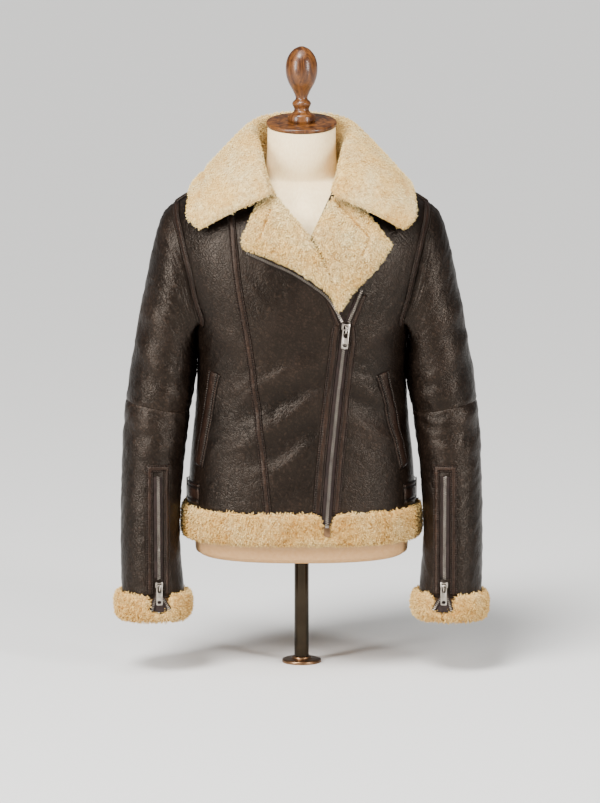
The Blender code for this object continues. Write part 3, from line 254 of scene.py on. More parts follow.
def woodMaterial(name, light, dark):
    look = woodLook
    made, tree, where = startMaterial(name, Coat_Weight=0.16, Coat_Roughness=0.1, Specular_IOR_Level=0.3)
    long = put(tree, "ShaderNodeMapping", {"Vector": where, "Scale": look["stretch"], "Rotation": look["lean"]})
    rings = clouds(tree, long.outputs[0], look["rings"], 5, Distortion=1.2)
    pores = clouds(tree, long.outputs[0], look["pores"], 3)
    colour = blend(tree, ramp(tree, rings, (0.38, 0.0), (0.62, 1.0)), dark, light)
    colour = darkened(tree, colour, ramp(tree, pores, (0.35, 0.7), (0.6, 1.0)))
    return finishMaterial(made, colour, ramp(tree, rings, (0.3, 0.3), (0.7, 0.42)), pores, 0.0001, 0.4)


def wovenMaterial(name, light, dark, pitch, uvName=None, rough=0.85, aged=0.0):
    made, tree, where = startMaterial(name, Roughness=rough, Specular_IOR_Level=0.15)
    high = put(tree, "ShaderNodeSeparateXYZ", {"Vector": where}).outputs["Z"]
    if uvName:
        where = put(tree, "ShaderNodeUVMap", uv_map=uvName).outputs["UV"]
    slub = clouds(tree, where, clothLook["slub"], 4)
    axes = put(tree, "ShaderNodeSeparateXYZ", {"Vector": where}).outputs
    weave = calc(tree, "MULTIPLY", *[calc(tree, "SINE", calc(tree, "MULTIPLY", axes[axis], 2 * math.pi / pitch))
                                     for axis in ("X", "Y" if uvName else "Z")])
    colour = blend(tree, ramp(tree, sum2(tree, slub, weave, 0.16), (0.3, 0.0), (0.66, 1.0)), dark, light)
    # painted shadow under the hem: the linen darkens towards the form's bottom edge
    if aged:
        foot = ramp(tree, high, (clothLook["hemShadowLow"], aged), (clothLook["hemShadowHigh"], 0.0))
        colour = darkened(tree, colour, clothLook["hemShadowColour"], foot)
    return finishMaterial(made, colour, None, sum2(tree, slub, weave, 0.5), 0.0003, 0.5)


def floorMaterial():
    made, tree, where = startMaterial("paleFloor", Roughness=0.9, Specular_IOR_Level=0.2)
    light = studio["floorColour"]
    return finishMaterial(made, blend(tree, clouds(tree, where, 3, 3), light, tuple(c * 0.985 for c in light)))


leather = leatherMaterial("jacketLeather", (0.0019, 0.0009, 0.0005), (0.0056, 0.0029, 0.0018),
                          (0.06, 0.038, 0.026))
trimLeather = leatherMaterial("trimLeather", (0.0045, 0.0017, 0.0011), (0.0105, 0.0042, 0.0026),
                              (0.1, 0.054, 0.036), 1.5, puckers=True)
fleece = fleeceMaterial("fleece", (0.3, 0.15, 0.035), (1, 0.74, 0.28), (1, 0.87, 0.48), (0.76, 0.48, 0.14))
# a darker copy of the fleece for the insides of the panels, sleeves and wool tubes: painted shade
fleeceInShade = fleeceMaterial("clippedFleece", (0.13, 0.07, 0.03), (0.34, 0.21, 0.1), (0.42, 0.28, 0.15),
                              (0.3, 0.18, 0.08))
thread = wovenMaterial("thread", (0.02, 0.011, 0.008), (0.01, 0.006, 0.004), 0.0009, rough=0.6)
zipCloth = wovenMaterial("zipCloth", (0.02, 0.012, 0.01), (0.008, 0.005, 0.004), 0.0011)
nickel = metalMaterial("nickel", (0.46, 0.41, 0.35), (0.2, 0.17, 0.14), 0.27)
linen = wovenMaterial("linen", (0.95, 0.77, 0.47), (0.87, 0.66, 0.36), 0.0016, "clothMap", aged=0.8)
turnedWood = woodMaterial("turnedWood", (0.15, 0.052, 0.01), (0.04, 0.0115, 0.0022))
darkSteel = metalMaterial("darkSteel", (0.035, 0.026, 0.017), (0.012, 0.009, 0.006), 0.16, 500, 14)
bronze = metalMaterial("bronze", (0.22, 0.125, 0.065), (0.09, 0.05, 0.027), 0.3, 500, 60)
print("materials made")


def meshFrom(name, work):
    mesh = bpy.data.meshes.new(name)
    work.to_mesh(mesh)
    work.free()
    return mesh


floor = bmesh.new()
bmesh.ops.create_grid(floor, x_segments=1, y_segments=1, size=40)
floor = addToScene("floor", meshFrom("floor", floor))
floor.data.materials.append(floorMaterial())

# Smooth lines and surfaces, from the same tables as the part's source


def table(columns, *rows, **same):
    values = np.array(rows, float)
    read = {name: values[:, k] for k, name in enumerate(columns.split())}
    return {**read, **{name: np.full(len(rows), value) for name, value in same.items()}}


trunkRings = table(
    "height halfWidth front back",
    (192, 173, 127, 120),
    (240, 171, 126, 119),
    (285, 169, 123, 116),
    (330, 165.5, 120, 112),
    (380, 160, 118, 109),
    (430, 156.5, 118, 108),
    (474, 157, 121, 110),
    (510, 162, 125, 112),
    (550, 174.5, 127, 113),
    (590, 186, 126, 112),
    (630, 195, 121, 109),
    (665, 203, 110, 103),
    (695, 209, 92, 91),
    (718, 214, 68, 71),
    (734, 217, 38, 43),
    (742, 218, 0, 0), power=2.5)
crest, armpit, shoulderX, hemTop, slopeStart = 742.0, 502.0, 193.0, 243.0, 515.0
crestRow = 15
shoulderSlope = table(
    "x fall", (0, 0), (60, 0), (100, 9), (140, 20), (172, 33), (193, 47), (230, 74))
softFolds = table(
    "x height length width angle amount side",
    (-25, 452, 62, 13, 24, 3.2, -1),
    (-20, 420, 70, 13, 27, -3.0, -1),
    (-22, 388, 74, 13, 30, 3.4, -1),
    (-20, 352, 66, 13, 33, -2.8, -1),
    (-16, 318, 54, 13, 36, 2.6, -1),
    (96, 430, 52, 13, -30, 2.8, -1),
    (100, 398, 56, 13, -33, -2.6, -1),
    (98, 366, 52, 13, -36, 2.6, -1),
    (-105, 500, 40, 14, -40, 2.4, -1),
    (112, 508, 42, 14, 40, 2.6, -1),
    (-70, 440, 80, 16, 12, 3.0, 1),
    (72, 436, 84, 16, -12, 3.0, 1),
    (0, 404, 90, 16, 3, -2.8, 1),
    (-66, 372, 74, 16, -14, 2.6, 1),
    (70, 366, 70, 16, 14, 2.6, 1),
    (0, 330, 76, 15, 0, 2.4, 1),
)
# Small creases: a patch of the leather, the way they run, their spacing and depth
smallCreases = table(
    "x height reachX reachZ angle across along amount side",
    (-30, 590, 70, 55, -52, 9, 42, 0.8, -1),
    (-30, 400, 80, 110, 30, 11, 52, 1.1, -1),
    (105, 410, 60, 110, -32, 11, 50, 1.0, -1),
    (-120, 420, 50, 160, 62, 10, 44, 0.7, -1),
    (110, 560, 60, 60, 50, 10, 44, 0.6, -1),
    (0, 430, 190, 150, 4, 12, 60, 1.0, 1),
    (0, 620, 160, 90, 80, 12, 50, 0.5, 1),
)
sleeveRings = table(
    "outerX outerZ innerX innerZ centreY halfDepth",
    (193, 693, 157, 502, -4, 66),
    (205, 681, 158.4, 500, -4, 68),
    (213, 663, 157.6, 495, -4, 70),
    (221, 634, 157, 486, -5, 70),
    (229, 597, 157.2, 472, -6, 69),
    (237, 556, 158, 456, -8, 67),
    (245.5, 508, 160, 437, -10, 65),
    (255, 454, 163.2, 414, -13, 62),
    (262, 404, 167, 386, -17, 60),
    (266, 360, 171, 350, -22, 58),
    (268.5, 313, 176, 308, -29, 56),
    (270, 268, 179.5, 265, -36, 54),
    (270.5, 220, 182, 220, -43, 52),
    (270.5, 170, 180, 170, -49, 50),
    (269, 116, 175, 116, -55, 48),
    (269, 66, 175, 66, -60, 48), power=2.1)
cuffRow, elbowRow, armBlend, ringPoints = 14.0, 8.0, 5.0, 112
rollMeets = 653  # where the left roll line leaves the right one
leanIn = {-1: 2.6, 1: 4.4}  # how far each sleeve hangs in to the body
sleeveFolds = table(
    "row round length width angle amount",
    (6.4, 70, 50, 0.34, 12, 3.4),
    (7.3, 110, 54, 0.32, -10, 3.0),
    (8.5, 60, 46, 0.30, 14, 3.2),
    (9.4, 100, 50, 0.30, -12, 2.8),
    (7.0, 300, 60, 0.34, 8, 3.2),
    (8.2, 260, 54, 0.32, -9, 3.0),
    (9.2, 320, 48, 0.30, 10, 2.6),
    (5.2, 40, 46, 0.36, -14, 2.4),
)
armholeLine = ((192.6, 690), (189, 668), (183, 650), (174.5, 617), (167.5, 589), (161, 562),
               (153.5, 538), (151.5, 522))
zipLine = ((37, 236), (42.5, 310), (47.6, 364), (55, 436), (62, 500), (64, 530))
rollRight = ((64, 530), (56, 548), (37, 606), (12, 653), (-10, 681), (-38, 714))
rollLeft = ((12, 653), (27, 684), (46, 722))
princessLine = ((-49, 236), (-57, 321), (-66, 399), (-78, 493), (-93.5, 586), (-103, 677))
neckFront = {-1: ((-38, 714), (-52, 733), (-63, 742)), 1: ((46, 722), (55, 736), (63, 742))}
neckBack = ((63, 742), (50, 737), (30, 732), (0, 730))
bothSides = ((-1, "right", "Right"), (1, "left", "Left"))


def rowsOf(columns):
    return [dict(zip(columns, values)) for values in zip(*columns.values())]


def spline(values, at):
    values = np.asarray(values, float)
    last = len(values) - 1
    at = np.clip(np.asarray(at, float), 0, last)
    slope = np.gradient(values, axis=0)
    low = np.minimum(np.floor(at).astype(int), last - 1)
    s = at - low
    t = s.reshape(s.shape + (1,) * (values.ndim - 1))
    return (values[low] * (2 * t**3 - 3 * t**2 + 1) + slope[low] * (t**3 - 2 * t**2 + t)
            + values[low + 1] * (3 * t**2 - 2 * t**3) + slope[low + 1] * (t**3 - t**2))


def ease(value):
    value = np.clip(value, 0, 1)
    return value * value * (3 - 2 * value)


def signedPower(value, power):
    return np.sign(value) * np.abs(value) ** power


def unit(vectors):
    return vectors / np.maximum(np.linalg.norm(vectors, axis=-1, keepdims=True), 1e-12)


def noiseAt(*parts):
    points = parts[0] if len(parts) == 1 else np.stack(np.broadcast_arrays(*parts), -1)
    values = [noise.noise(p) for p in np.asarray(points, float).reshape(-1, 3).tolist()]
    return np.array(values).reshape(np.shape(points)[:-1])


def travelled(points):
    return np.concatenate([[0], np.cumsum(np.linalg.norm(np.diff(points, axis=0), axis=-1))])


def sampled(values, travel, want):
    return np.stack([np.interp(want, travel, values[:, k]) for k in range(values.shape[1])], -1)


def evenly(points, count):
    travel = travelled(points)
    return sampled(points, travel, np.linspace(0, travel[-1], count))


def along(line, count):
    return evenly(spline(line, np.linspace(0, len(line) - 1, 400)), count)


fineRows = np.linspace(0, crestRow, 1501)
fineHeights = spline(trunkRings["height"], fineRows)


def rowOfHeight(height):
    return np.interp(height, fineHeights, fineRows)


def shoulderFall(x, height):
    share = ease((height - slopeStart) / (crest - slopeStart))
    return np.interp(np.abs(x), shoulderSlope["x"], shoulderSlope["fall"]) * share


def slanted(x, height, mark):
    angle, dx, dz = math.radians(mark["angle"]), x - mark["x"], height - mark["height"]
    return dx * math.cos(angle) + dz * math.sin(angle), -dx * math.sin(angle) + dz * math.cos(angle)


def foldHeight(x, height, side):
    total = np.zeros(np.broadcast(x, height).shape)
    for fold in rowsOf(softFolds):
        run, across = slanted(x, height, fold)
        bump = np.exp(-(run / fold["length"])**2 - (across / fold["width"])**2) * fold["amount"]
        total += np.where(np.sign(side) == fold["side"], bump, 0)
    return total


def creaseHeight(x, height, side):
    total = np.zeros(np.broadcast(x, height).shape)
    for k, crease in enumerate(rowsOf(smallCreases)):
        dx, dz = x - crease["x"], height - crease["height"]
        share = np.exp(-(dx / crease["reachX"])**4 - (dz / crease["reachZ"])**4)
        share = np.where(np.sign(side) == crease["side"], share, 0)
        run, across = slanted(x, height, crease)
        run, across = run / crease["along"], across / crease["across"]
        sway = noiseAt(run * 0.6, across * 0.2, run * 0 + k * 9.7)
        field = noiseAt(run, across + sway * 1.6, run * 0 + k * 5.3)
        total += share * crease["amount"] * (field * 1.3 - 0.8 * np.exp(-(field / 0.1)**2))
    return total


def relief(turn, plain):
    side = np.where(np.cos(np.radians(turn)) > 0, -1, 1)
    return [height(plain[..., 0], plain[..., 2], side) for height in (foldHeight, creaseHeight)]


def readAt(columns, row):
    return {name: spline(columns[name], row) for name in columns}


def roundRing(read, turn):
    sine, cosine, power = np.sin(np.radians(turn)), np.cos(np.radians(turn)), 2 / read["power"]
    depth = np.where(cosine > 0, read["front"], read["back"])
    return read["halfWidth"] * signedPower(sine, power), -depth * signedPower(cosine, power)


def trunkPlain(turn, row):
    read = readAt(trunkRings, row)
    x, y = roundRing(read, turn)
    z = read["height"] - shoulderFall(x, read["height"])
    return np.stack(np.broadcast_arrays(x, y, z), axis=-1)


def crossed(surface, turn, row, stepTurn, stepRow, lastRow):  # the normal, from a small step each way
    above, below = np.minimum(row + stepRow, lastRow), np.maximum(row - stepRow, 0)
    around = surface(turn + stepTurn, row) - surface(turn - stepTurn, row)
    return unit(np.cross(around, surface(turn, above) - surface(turn, below)))


def trunkNormal(turn, row):
    turn, row = np.broadcast_arrays(np.asarray(turn, float), np.asarray(row, float))
    other = np.where(turn >= 0, 180 - turn, -180 - turn)
    share = ease((row - (crestRow - 0.25)) / 0.25)[..., None] * 0.5
    near = np.minimum(row, crestRow - 0.02)
    front, back = (crossed(trunkPlain, way, near, 0.4, 0.01, crestRow) for way in (turn, other))
    return unit(front * (1 - share) + back * share)


def trunk(turn, row, off=0.0):
    plain = trunkPlain(turn, row)
    fold, crease = relief(turn, plain)
    return plain + trunkNormal(turn, row) * np.asarray(off + fold + crease)[..., None]


def turnOf(x, row):
    half, power = spline(trunkRings["halfWidth"], row), spline(trunkRings["power"], row)
    return np.degrees(np.arcsin(np.clip(np.abs(x) / half, 0, 1) ** (power / 2)))


def trunkSpot(x, z, side=-1):
    x, z = np.broadcast_arrays(np.asarray(x, float), np.asarray(z, float))
    height = np.array(z)
    for _ in range(40):
        height = np.minimum(z + shoulderFall(x, height), crest)
    row = rowOfHeight(height)
    turn = turnOf(x, row)
    turn = np.where(side < 0, turn, 180 - turn)
    return np.stack([np.where(x < 0, -turn, turn), row], axis=-1)


def spots(points, side=-1):
    return trunkSpot(points[:, 0], points[:, 1], side)


def spotsAlong(count, *line):
    return spots(along(line, count))


def armholeLoop(sign):
    halves = []
    tipHeight = crest - np.interp(shoulderX, shoulderSlope["x"], shoulderSlope["fall"])
    for side in (-1, 1):
        line = [trunkSpot(sign * x, z, side) for x, z in ((shoulderX, tipHeight), *armholeLine)]
        line[0][1] = crestRow
        line.append(np.array([sign * 90.0, rowOfHeight(armpit + shoulderFall(157, armpit))]))
        fine = spline(np.array(line), np.linspace(0, len(line) - 1, 500))
        fine[:, 1] = np.minimum(fine[:, 1], crestRow)
        travel = travelled(trunkPlain(fine[:, 0], fine[:, 1]))
        halves.append(sampled(fine, travel, np.linspace(0, travel[-1], ringPoints // 2 + 1)))
    return halves


def armholeRing(sign):
    front, back = armLoops[sign]
    ring = np.concatenate([trunk(*front[:-1].T), trunk(*back[:0:-1].T)])
    wall = unit(ring.mean(axis=0) - ring)
    arm = unit(np.cross(np.roll(ring, -1, axis=0) - np.roll(ring, 1, axis=0), wall))
    return ring, wall, arm * np.sign(arm[:, 0].sum()) * sign


armLoops = {sign: armholeLoop(sign) for sign in (-1, 1)}
armholes = {sign: armholeRing(sign) for sign in (-1, 1)}


def sleevePlain(sign, turn, row):
    angle = np.radians(turn)

    def ring(values):
        power = 2 / values["power"]
        out, fore = signedPower(np.cos(angle), power), signedPower(np.sin(angle), power)
        near = values["innerX"] - leanIn[sign] * np.exp(-((row - 5.8) / 1.8)**2)
        x = (values["outerX"] + near + (values["outerX"] - near) * out) / 2
        z = (values["outerZ"] + values["innerZ"] + (values["outerZ"] - values["innerZ"]) * out) / 2
        y = values["centreY"] - values["halfDepth"] * fore
        return np.stack(np.broadcast_arrays(sign * x, y, z), axis=-1)

    points, first = ring(readAt(sleeveRings, row)), ring(rowsOf(sleeveRings)[0])
    share = (1 - ease(np.asarray(row) / armBlend))[..., None]
    place = np.mod(turn, 360) / 360 * ringPoints
    seam = armholes[sign][0]
    low = np.floor(place).astype(int) % ringPoints
    part = (place - np.floor(place))[..., None]
    edge = seam[low] * (1 - part) + seam[(low + 1) % ringPoints] * part
    return points + share * (edge - first)


armCreases = dict(fine=0.75, elbow=1.25, around=26.0, down=0.26, radius=57)


def sleeveFold(sign, turn, row):
    total = np.zeros(np.broadcast(turn, row).shape)
    for fold in rowsOf(sleeveFolds):
        away = np.mod(turn - fold["round"] + 180, 360) - 180
        lean = math.tan(math.radians(fold["angle"])) * away / 60
        across = (row - fold["row"] - lean) / fold["width"]
        total += np.exp(-across**2 - (away / fold["length"])**2) * fold["amount"]
    angle, radius, around = np.radians(turn), armCreases["radius"], armCreases["around"]
    lean = row + 0.5 * np.sin(angle * 2 + sign)
    field = noiseAt(np.cos(angle) * radius / around, np.sin(angle) * radius / around,
                    lean / armCreases["down"] + sign * 31)
    elbow = np.exp(-((row - 7.8) / 2.2)**2)
    depth = armCreases["fine"] + (armCreases["elbow"] - armCreases["fine"]) * elbow
    fade = ease(row / 0.8) * ease((cuffRow - row) / 0.5 + 0.35)
    return total + depth * fade * (field * 1.2 - 0.7 * np.exp(-(field / 0.11)**2))


def sleeveNormal(sign, turn, row):
    return crossed(partial(sleevePlain, sign), turn, row, 1.5, 0.02, 15) * sign


def sleeve(sign, turn, row, off=0.0):
    turn, row = np.broadcast_arrays(np.asarray(turn, float), np.asarray(row, float))
    off = off + sleeveFold(sign, turn, row)
    return sleevePlain(sign, turn, row) + sleeveNormal(sign, turn, row) * np.asarray(off)[..., None]


cloths = {sign: partial(sleeve, sign) for sign in (-1, 1)}


def coons(left, right, bottom, top, u=None):  # a grid filled in between four edges
    rows, columns = len(left), len(bottom)
    v = np.linspace(0, 1, rows)[:, None, None]
    u = (np.linspace(0, 1, columns) if u is None else u)[None, :, None]
    corners = (left[0] * (1 - u) * (1 - v) + right[0] * u * (1 - v)
               + left[-1] * (1 - u) * v + right[-1] * u * v)
    return left[:, None] * (1 - u) + right[:, None] * u + bottom[None] * (1 - v) + top[None] * v - corners


def edgeDistance(points, roundU=False):
    across = np.zeros(points.shape[:2])
    up = np.zeros(points.shape[:2])
    across[:, 1:] = np.cumsum(np.linalg.norm(np.diff(points, axis=1), axis=-1), axis=1)
    up[1:] = np.cumsum(np.linalg.norm(np.diff(points, axis=0), axis=-1), axis=0)
    ends = np.minimum(up, up[-1:] - up)
    return ends if roundU else np.minimum(ends, np.minimum(across, across[:, -1:] - across))


def quads(index):
    return np.stack([index[:-1, :-1], index[:-1, 1:], index[1:, 1:], index[1:, :-1]], -1).reshape(-1, 4)


def tubeIndex(rows, sides, closed=0):
    return np.pad(np.arange(rows * sides).reshape(rows, sides), ((0, closed), (0, 1)), "wrap")


def tubeFaces(rows, sides):  # the sides first, then the two end caps
    index = tubeIndex(rows, sides)
    return quads(index).tolist() + [index[0, sides - 1::-1].tolist(), index[-1, :-1].tolist()]


def writeMarks(mesh, marks):
    for key, values in marks.items():
        mesh.attributes.new(key, "FLOAT", "POINT").data.foreach_set("value", np.asarray(values, np.float32))


def makeMesh(name, points, faces, finishes, slots=None, marks=None, smooth=True):
    mesh = bpy.data.meshes.new(name)
    mesh.from_pydata((np.asarray(points) * mm).tolist(), [], [tuple(face) for face in faces])
    for finish in finishes:
        mesh.materials.append(finish)
    if slots is not None:
        mesh.polygons.foreach_set("material_index", np.asarray(slots, np.int32))
    writeMarks(mesh, marks or {})
    work = bmesh.new()
    work.from_mesh(mesh)
    bmesh.ops.recalc_face_normals(work, faces=work.faces)
    if work.calc_volume(signed=True) < 0:
        bmesh.ops.reverse_faces(work, faces=work.faces)
    work.to_mesh(mesh)
    work.free()
    if smooth:
        mesh.shade_smooth()
    return addToScene(name, mesh)


def wallMesh(name, outer, inner, finishes, roundU=False, **marks):
    rows, columns = outer.shape[:2]
    count = rows * columns
    index = tubeIndex(rows, columns)[:, :None if roundU else -1]
    front = quads(index)
    edges = (index[0], index[-1]) if roundU else (index[0], index[-1], index[:, 0], index[:, -1])
    rims = [np.stack([line[1:], line[:-1], line[:-1] + count, line[1:] + count], -1) for line in edges]
    faces = np.concatenate([front, front[:, ::-1] + count] + rims)
    slots = np.zeros(len(faces), int)
    slots[len(front):2 * len(front)] = len(finishes) - 1
    marks = {key: np.concatenate([np.asarray(values).ravel(), np.full(count, np.min(values))])
             for key, values in marks.items()}
    points = np.concatenate([outer.reshape(-1, 3), inner.reshape(-1, 3)])
    return makeMesh(name, points, faces.tolist(), finishes, slots, marks)


def hand(piece, slot, node=None, body=jacketBody):  # most nodes have the piece's name, with underscores
    if node is None:
        node = "".join("_" + c.lower() if c.isupper() else c for c in piece.name)
    if node:
        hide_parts(node)
    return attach(piece, body)


# Leather panels of the trunk
hide = dict(thick=4.0, seamDip=1.0, seamReach=2.6, edgeWear=0.55, edgeReach=4.0, foldWear=0.16, patches=0.012)
panelEdge = np.array([0, 0.006, 0.016, 0.032])
panelRows, panelTop, halfRing = 70, 514, ringPoints // 2
panels, strips = {}, {}


def seamDip(away):
    return -hide["seamDip"] * np.exp(-(away / hide["seamReach"])**2)


def wearOf(places, folds, away):
    rubbed = noiseAt(places) * 0.5 + 0.35 + folds * hide["foldWear"]
    return np.clip(rubbed, 0, 1) * 0.7 + hide["edgeWear"] * np.exp(-(away / hide["edgeReach"])**2)


def leatherGrid(name, grid, node=None, arms=(), back=False):
    turn, row = grid[..., 0], grid[..., 1]
    plain = trunkPlain(turn, row)
    away = edgeDistance(plain)
    outer, inner = trunk(turn, row, seamDip(away)), trunk(turn, row, -hide["thick"])
    index = np.arange(halfRing, ringPoints + 1) % ringPoints if back else np.arange(halfRing, -1, -1)
    for sign in arms:
        ring, wall, _ = armholes[sign]
        place = slice(panelRows, panelRows + halfRing + 1), 0 if (sign > 0) == back else -1
        outer[place] = ring[index] + wall[index] * 0.6
        inner[place] = ring[index] + wall[index] * hide["thick"]
    fold, crease = relief(turn, plain)
    wear = wearOf(plain * hide["patches"], fold + crease, away)
    # the panel's inner wall gets the darker fleece copy: painted shade inside the jacket
    panels[name] = hand(wallMesh(name, outer, inner, (leather, fleeceInShade), wear=wear), "leather", node)


def level(first, last, u):
    return first + (last - first) * np.asarray(u)[:, None]


def upFront(lower, upper):
    points = np.concatenate([lower, upper[1:]])
    order = np.argsort(points[:, 1])
    heights = np.concatenate([np.linspace(hemTop, panelTop, panelRows + 1),
                              np.linspace(panelTop, points[:, 1].max(), halfRing + 1)[1:]])
    return spots(np.stack([np.interp(heights, points[order, 1], points[order, 0]), heights], -1))


def sideEdge(sign, back=False):
    lower = np.linspace(hemTop, armpit, panelRows + 1)[:-1]
    side = np.stack([np.full(panelRows, sign * 90.0), rowOfHeight(lower)], -1)
    return np.concatenate([side, armLoops[sign][1 if back else 0][::-1]])


def makePanels():
    roll, zipPoints = along(rollRight, 180), along(zipLine, 200)
    rightNeck = np.concatenate([roll, along(neckFront[-1], 60)[1:]])
    leftNeck = np.concatenate([roll[roll[:, 1] < rollMeets], along(rollLeft, 90), along(neckFront[1], 60)[1:]])
    rightEdge, leftEdge = upFront(zipPoints, rightNeck), upFront(zipPoints, leftNeck)
    princess = upFront(along(princessLine, 240), np.array([[-103, 677], [-112, 736]]))
    for edge in (rightEdge, leftEdge, princess):
        edge[-1, 1] = crestRow
    for name, left, right, count, arms in (("frontRightCentre", princess, rightEdge, 26, ()),
                                           ("frontRightSide", sideEdge(-1), princess, 32, (-1,)),
                                           ("frontLeft", leftEdge, sideEdge(1), 54, (1,))):
        u = np.concatenate([panelEdge, np.linspace(0.05, 0.95, count), 1 - panelEdge[::-1]])
        low, high = level(left[0], right[0], u), level(left[-1], right[-1], u)
        leatherGrid(name, coons(left, right, low, high, u), arms=arms)
    leftBack, rightBack = sideEdge(1, True), sideEdge(-1, True)
    rightBack[:, 0] = np.mod(rightBack[:, 0], 360)
    neckOne = spots(along(neckBack, 20), 1)
    neckOne[0, 1] = crestRow
    neckTwo = neckOne[::-1] * [-1, 1] + [360, 0]
    shoulder = np.linspace(0, 1, 30)
    top = np.concatenate([level(leftBack[-1], neckOne[0], shoulder)[:-1], neckOne, neckTwo[1:],
                          level(neckTwo[-1], rightBack[-1], shoulder)[1:]])
    bottom = level(leftBack[0], rightBack[0], np.linspace(0, 1, len(top)))
    leatherGrid("backPanel", coons(leftBack, rightBack, bottom, top), "back", (1, -1), True)
    return leftEdge[:panelRows + 1], princess[:-1]


zipEdge, princessEdge = makePanels()
print("leather panels made")

# Sleeves, each an upper and a lower piece
sleeveRows = dict(upper=62, lower=58)


def makeSleeves():
    turns = np.arange(ringPoints) * 360 / ringPoints
    for sign, _, tail in bothSides:
        for part, low, high in (("upper", 0.0, elbowRow), ("lower", elbowRow, cuffRow)):
            share = [0, 0.004, 0.012, *np.linspace(0.024, 0.976, sleeveRows[part]), 0.988, 0.996, 1]
            turn, row = np.meshgrid(turns, low + (high - low) * np.array(share))
            plain = sleevePlain(sign, turn, row)
            away = edgeDistance(plain, True)
            if part == "upper":
                away = away + 8 * (1 - ease(row / 0.6))
            outer, inner = sleeve(sign, turn, row, seamDip(away)), sleeve(sign, turn, row, -hide["thick"])
            if part == "upper":
                ring, wall, arm = armholes[sign]
                outer[0] = ring + arm * 0.36 + wall * 0.3
                inner[0] = ring + arm * 0.36 + wall * hide["thick"]
            wear = wearOf(plain * hide["patches"] + 7, sleeveFold(sign, turn, row), away)
            name = f"sleeve{tail}{part.title()}"
            # the sleeve's inner wall gets the darker fleece copy: painted shade inside the sleeve
            wall = wallMesh(name, outer, inner, (leather, fleeceInShade), True, wear=wear)
            panels[name] = hand(wall, "leather")


makeSleeves()
print("sleeves made")


def slopes(surface, turn, row, stepTurn=0.5, stepRow=0.02):
    here = surface(turn, row)
    byTurn = (surface(turn + stepTurn, row) - here) / stepTurn
    return here, byTurn, (surface(turn, row + stepRow) - here) / stepRow


def spotOnSleeve(sign, x, z):
    guess = np.array([90.0, 11.0])
    for _ in range(12):
        here, byTurn, byRow = slopes(partial(sleevePlain, sign), *guess)
        matrix = np.array([[byTurn[0], byRow[0]], [byTurn[2], byRow[2]]])
        guess = guess - np.linalg.solve(matrix, [here[0] - x, here[2] - z])
    return guess


# Sewn strips: a crowned band with two stitched grooves, laid along a line on the leather
def bandShape(*half):  # across, rise, rub and dark from one edge to the middle, then the same mirrored; dark is painted shade in the stitch grooves and along the edges
    return table("across rise rub dark", *half, *((-row[0], *row[1:]) for row in half[-2::-1]))


band = bandShape((-1, 0.0, 0, 1), (-0.96, 0.45, 0, 0.9), (-0.88, 0.8, 0.5, 0), (-0.79, 0.84, 0.2, 0.1),
                 (-0.7, 0.7, 0, 0.7), (-0.62, 0.35, 0, 1.1), (-0.54, 0.72, 0, 0.7), (-0.4, 0.94, 0.1, 0.1),
                 (0, 1, 0.2, 0))
tape = bandShape((-1, 0.3, 0, 0), (-0.96, 1, 0, 0), (-0.4, 1, 0, 0), (0, 0.8, 0, 0))
stripShape = dict(step=3.6, groove=0.62, stitchUp=0.6, sunk=0.25, wear=0.3)
stitchLines, toothLines = [], []


def refine(surface, path):
    path = np.asarray(path, float)
    points = surface(path[:, 0], path[:, 1])
    fine = []
    for k in range(len(path) - 1):
        parts = max(1, round(float(np.linalg.norm(points[k + 1] - points[k])) / stripShape["step"]))
        fine.extend(path[k] + (path[k + 1] - path[k]) * j / parts for j in range(parts))
    return np.array(fine + [path[-1]])


def sideways(surface, path):  # for each point, the turn and row that move it 1 mm across the line
    points, byTurn, byRow = slopes(surface, path[:, 0], path[:, 1])
    normal = unit(np.cross(byTurn, byRow))
    ways = unit(np.diff(points, axis=0))
    before = np.concatenate([ways[:1], ways])
    after = np.concatenate([ways, ways[-1:]])
    spare = np.sqrt(np.maximum((1 + (before * after).sum(-1)) / 2, 0.25))
    across = unit(np.cross(normal, unit(before + after))) / spare[:, None]
    return np.array([np.linalg.lstsq(np.stack([byTurn[k], byRow[k]], 1), across[k], rcond=None)[0]
                     for k in range(len(path))])


def lineOn(surface, path, moves, offset, height):
    shifted = path + moves * offset
    base = surface(shifted[:, 0], shifted[:, 1], height)
    return base, unit(surface(shifted[:, 0], shifted[:, 1], height + 1) - base)


def widthsAlong(width, count):
    stops = np.atleast_1d(np.asarray(width, float))
    return np.interp(np.linspace(0, 1, count), np.linspace(0, 1, len(stops)), stops)[:, None]


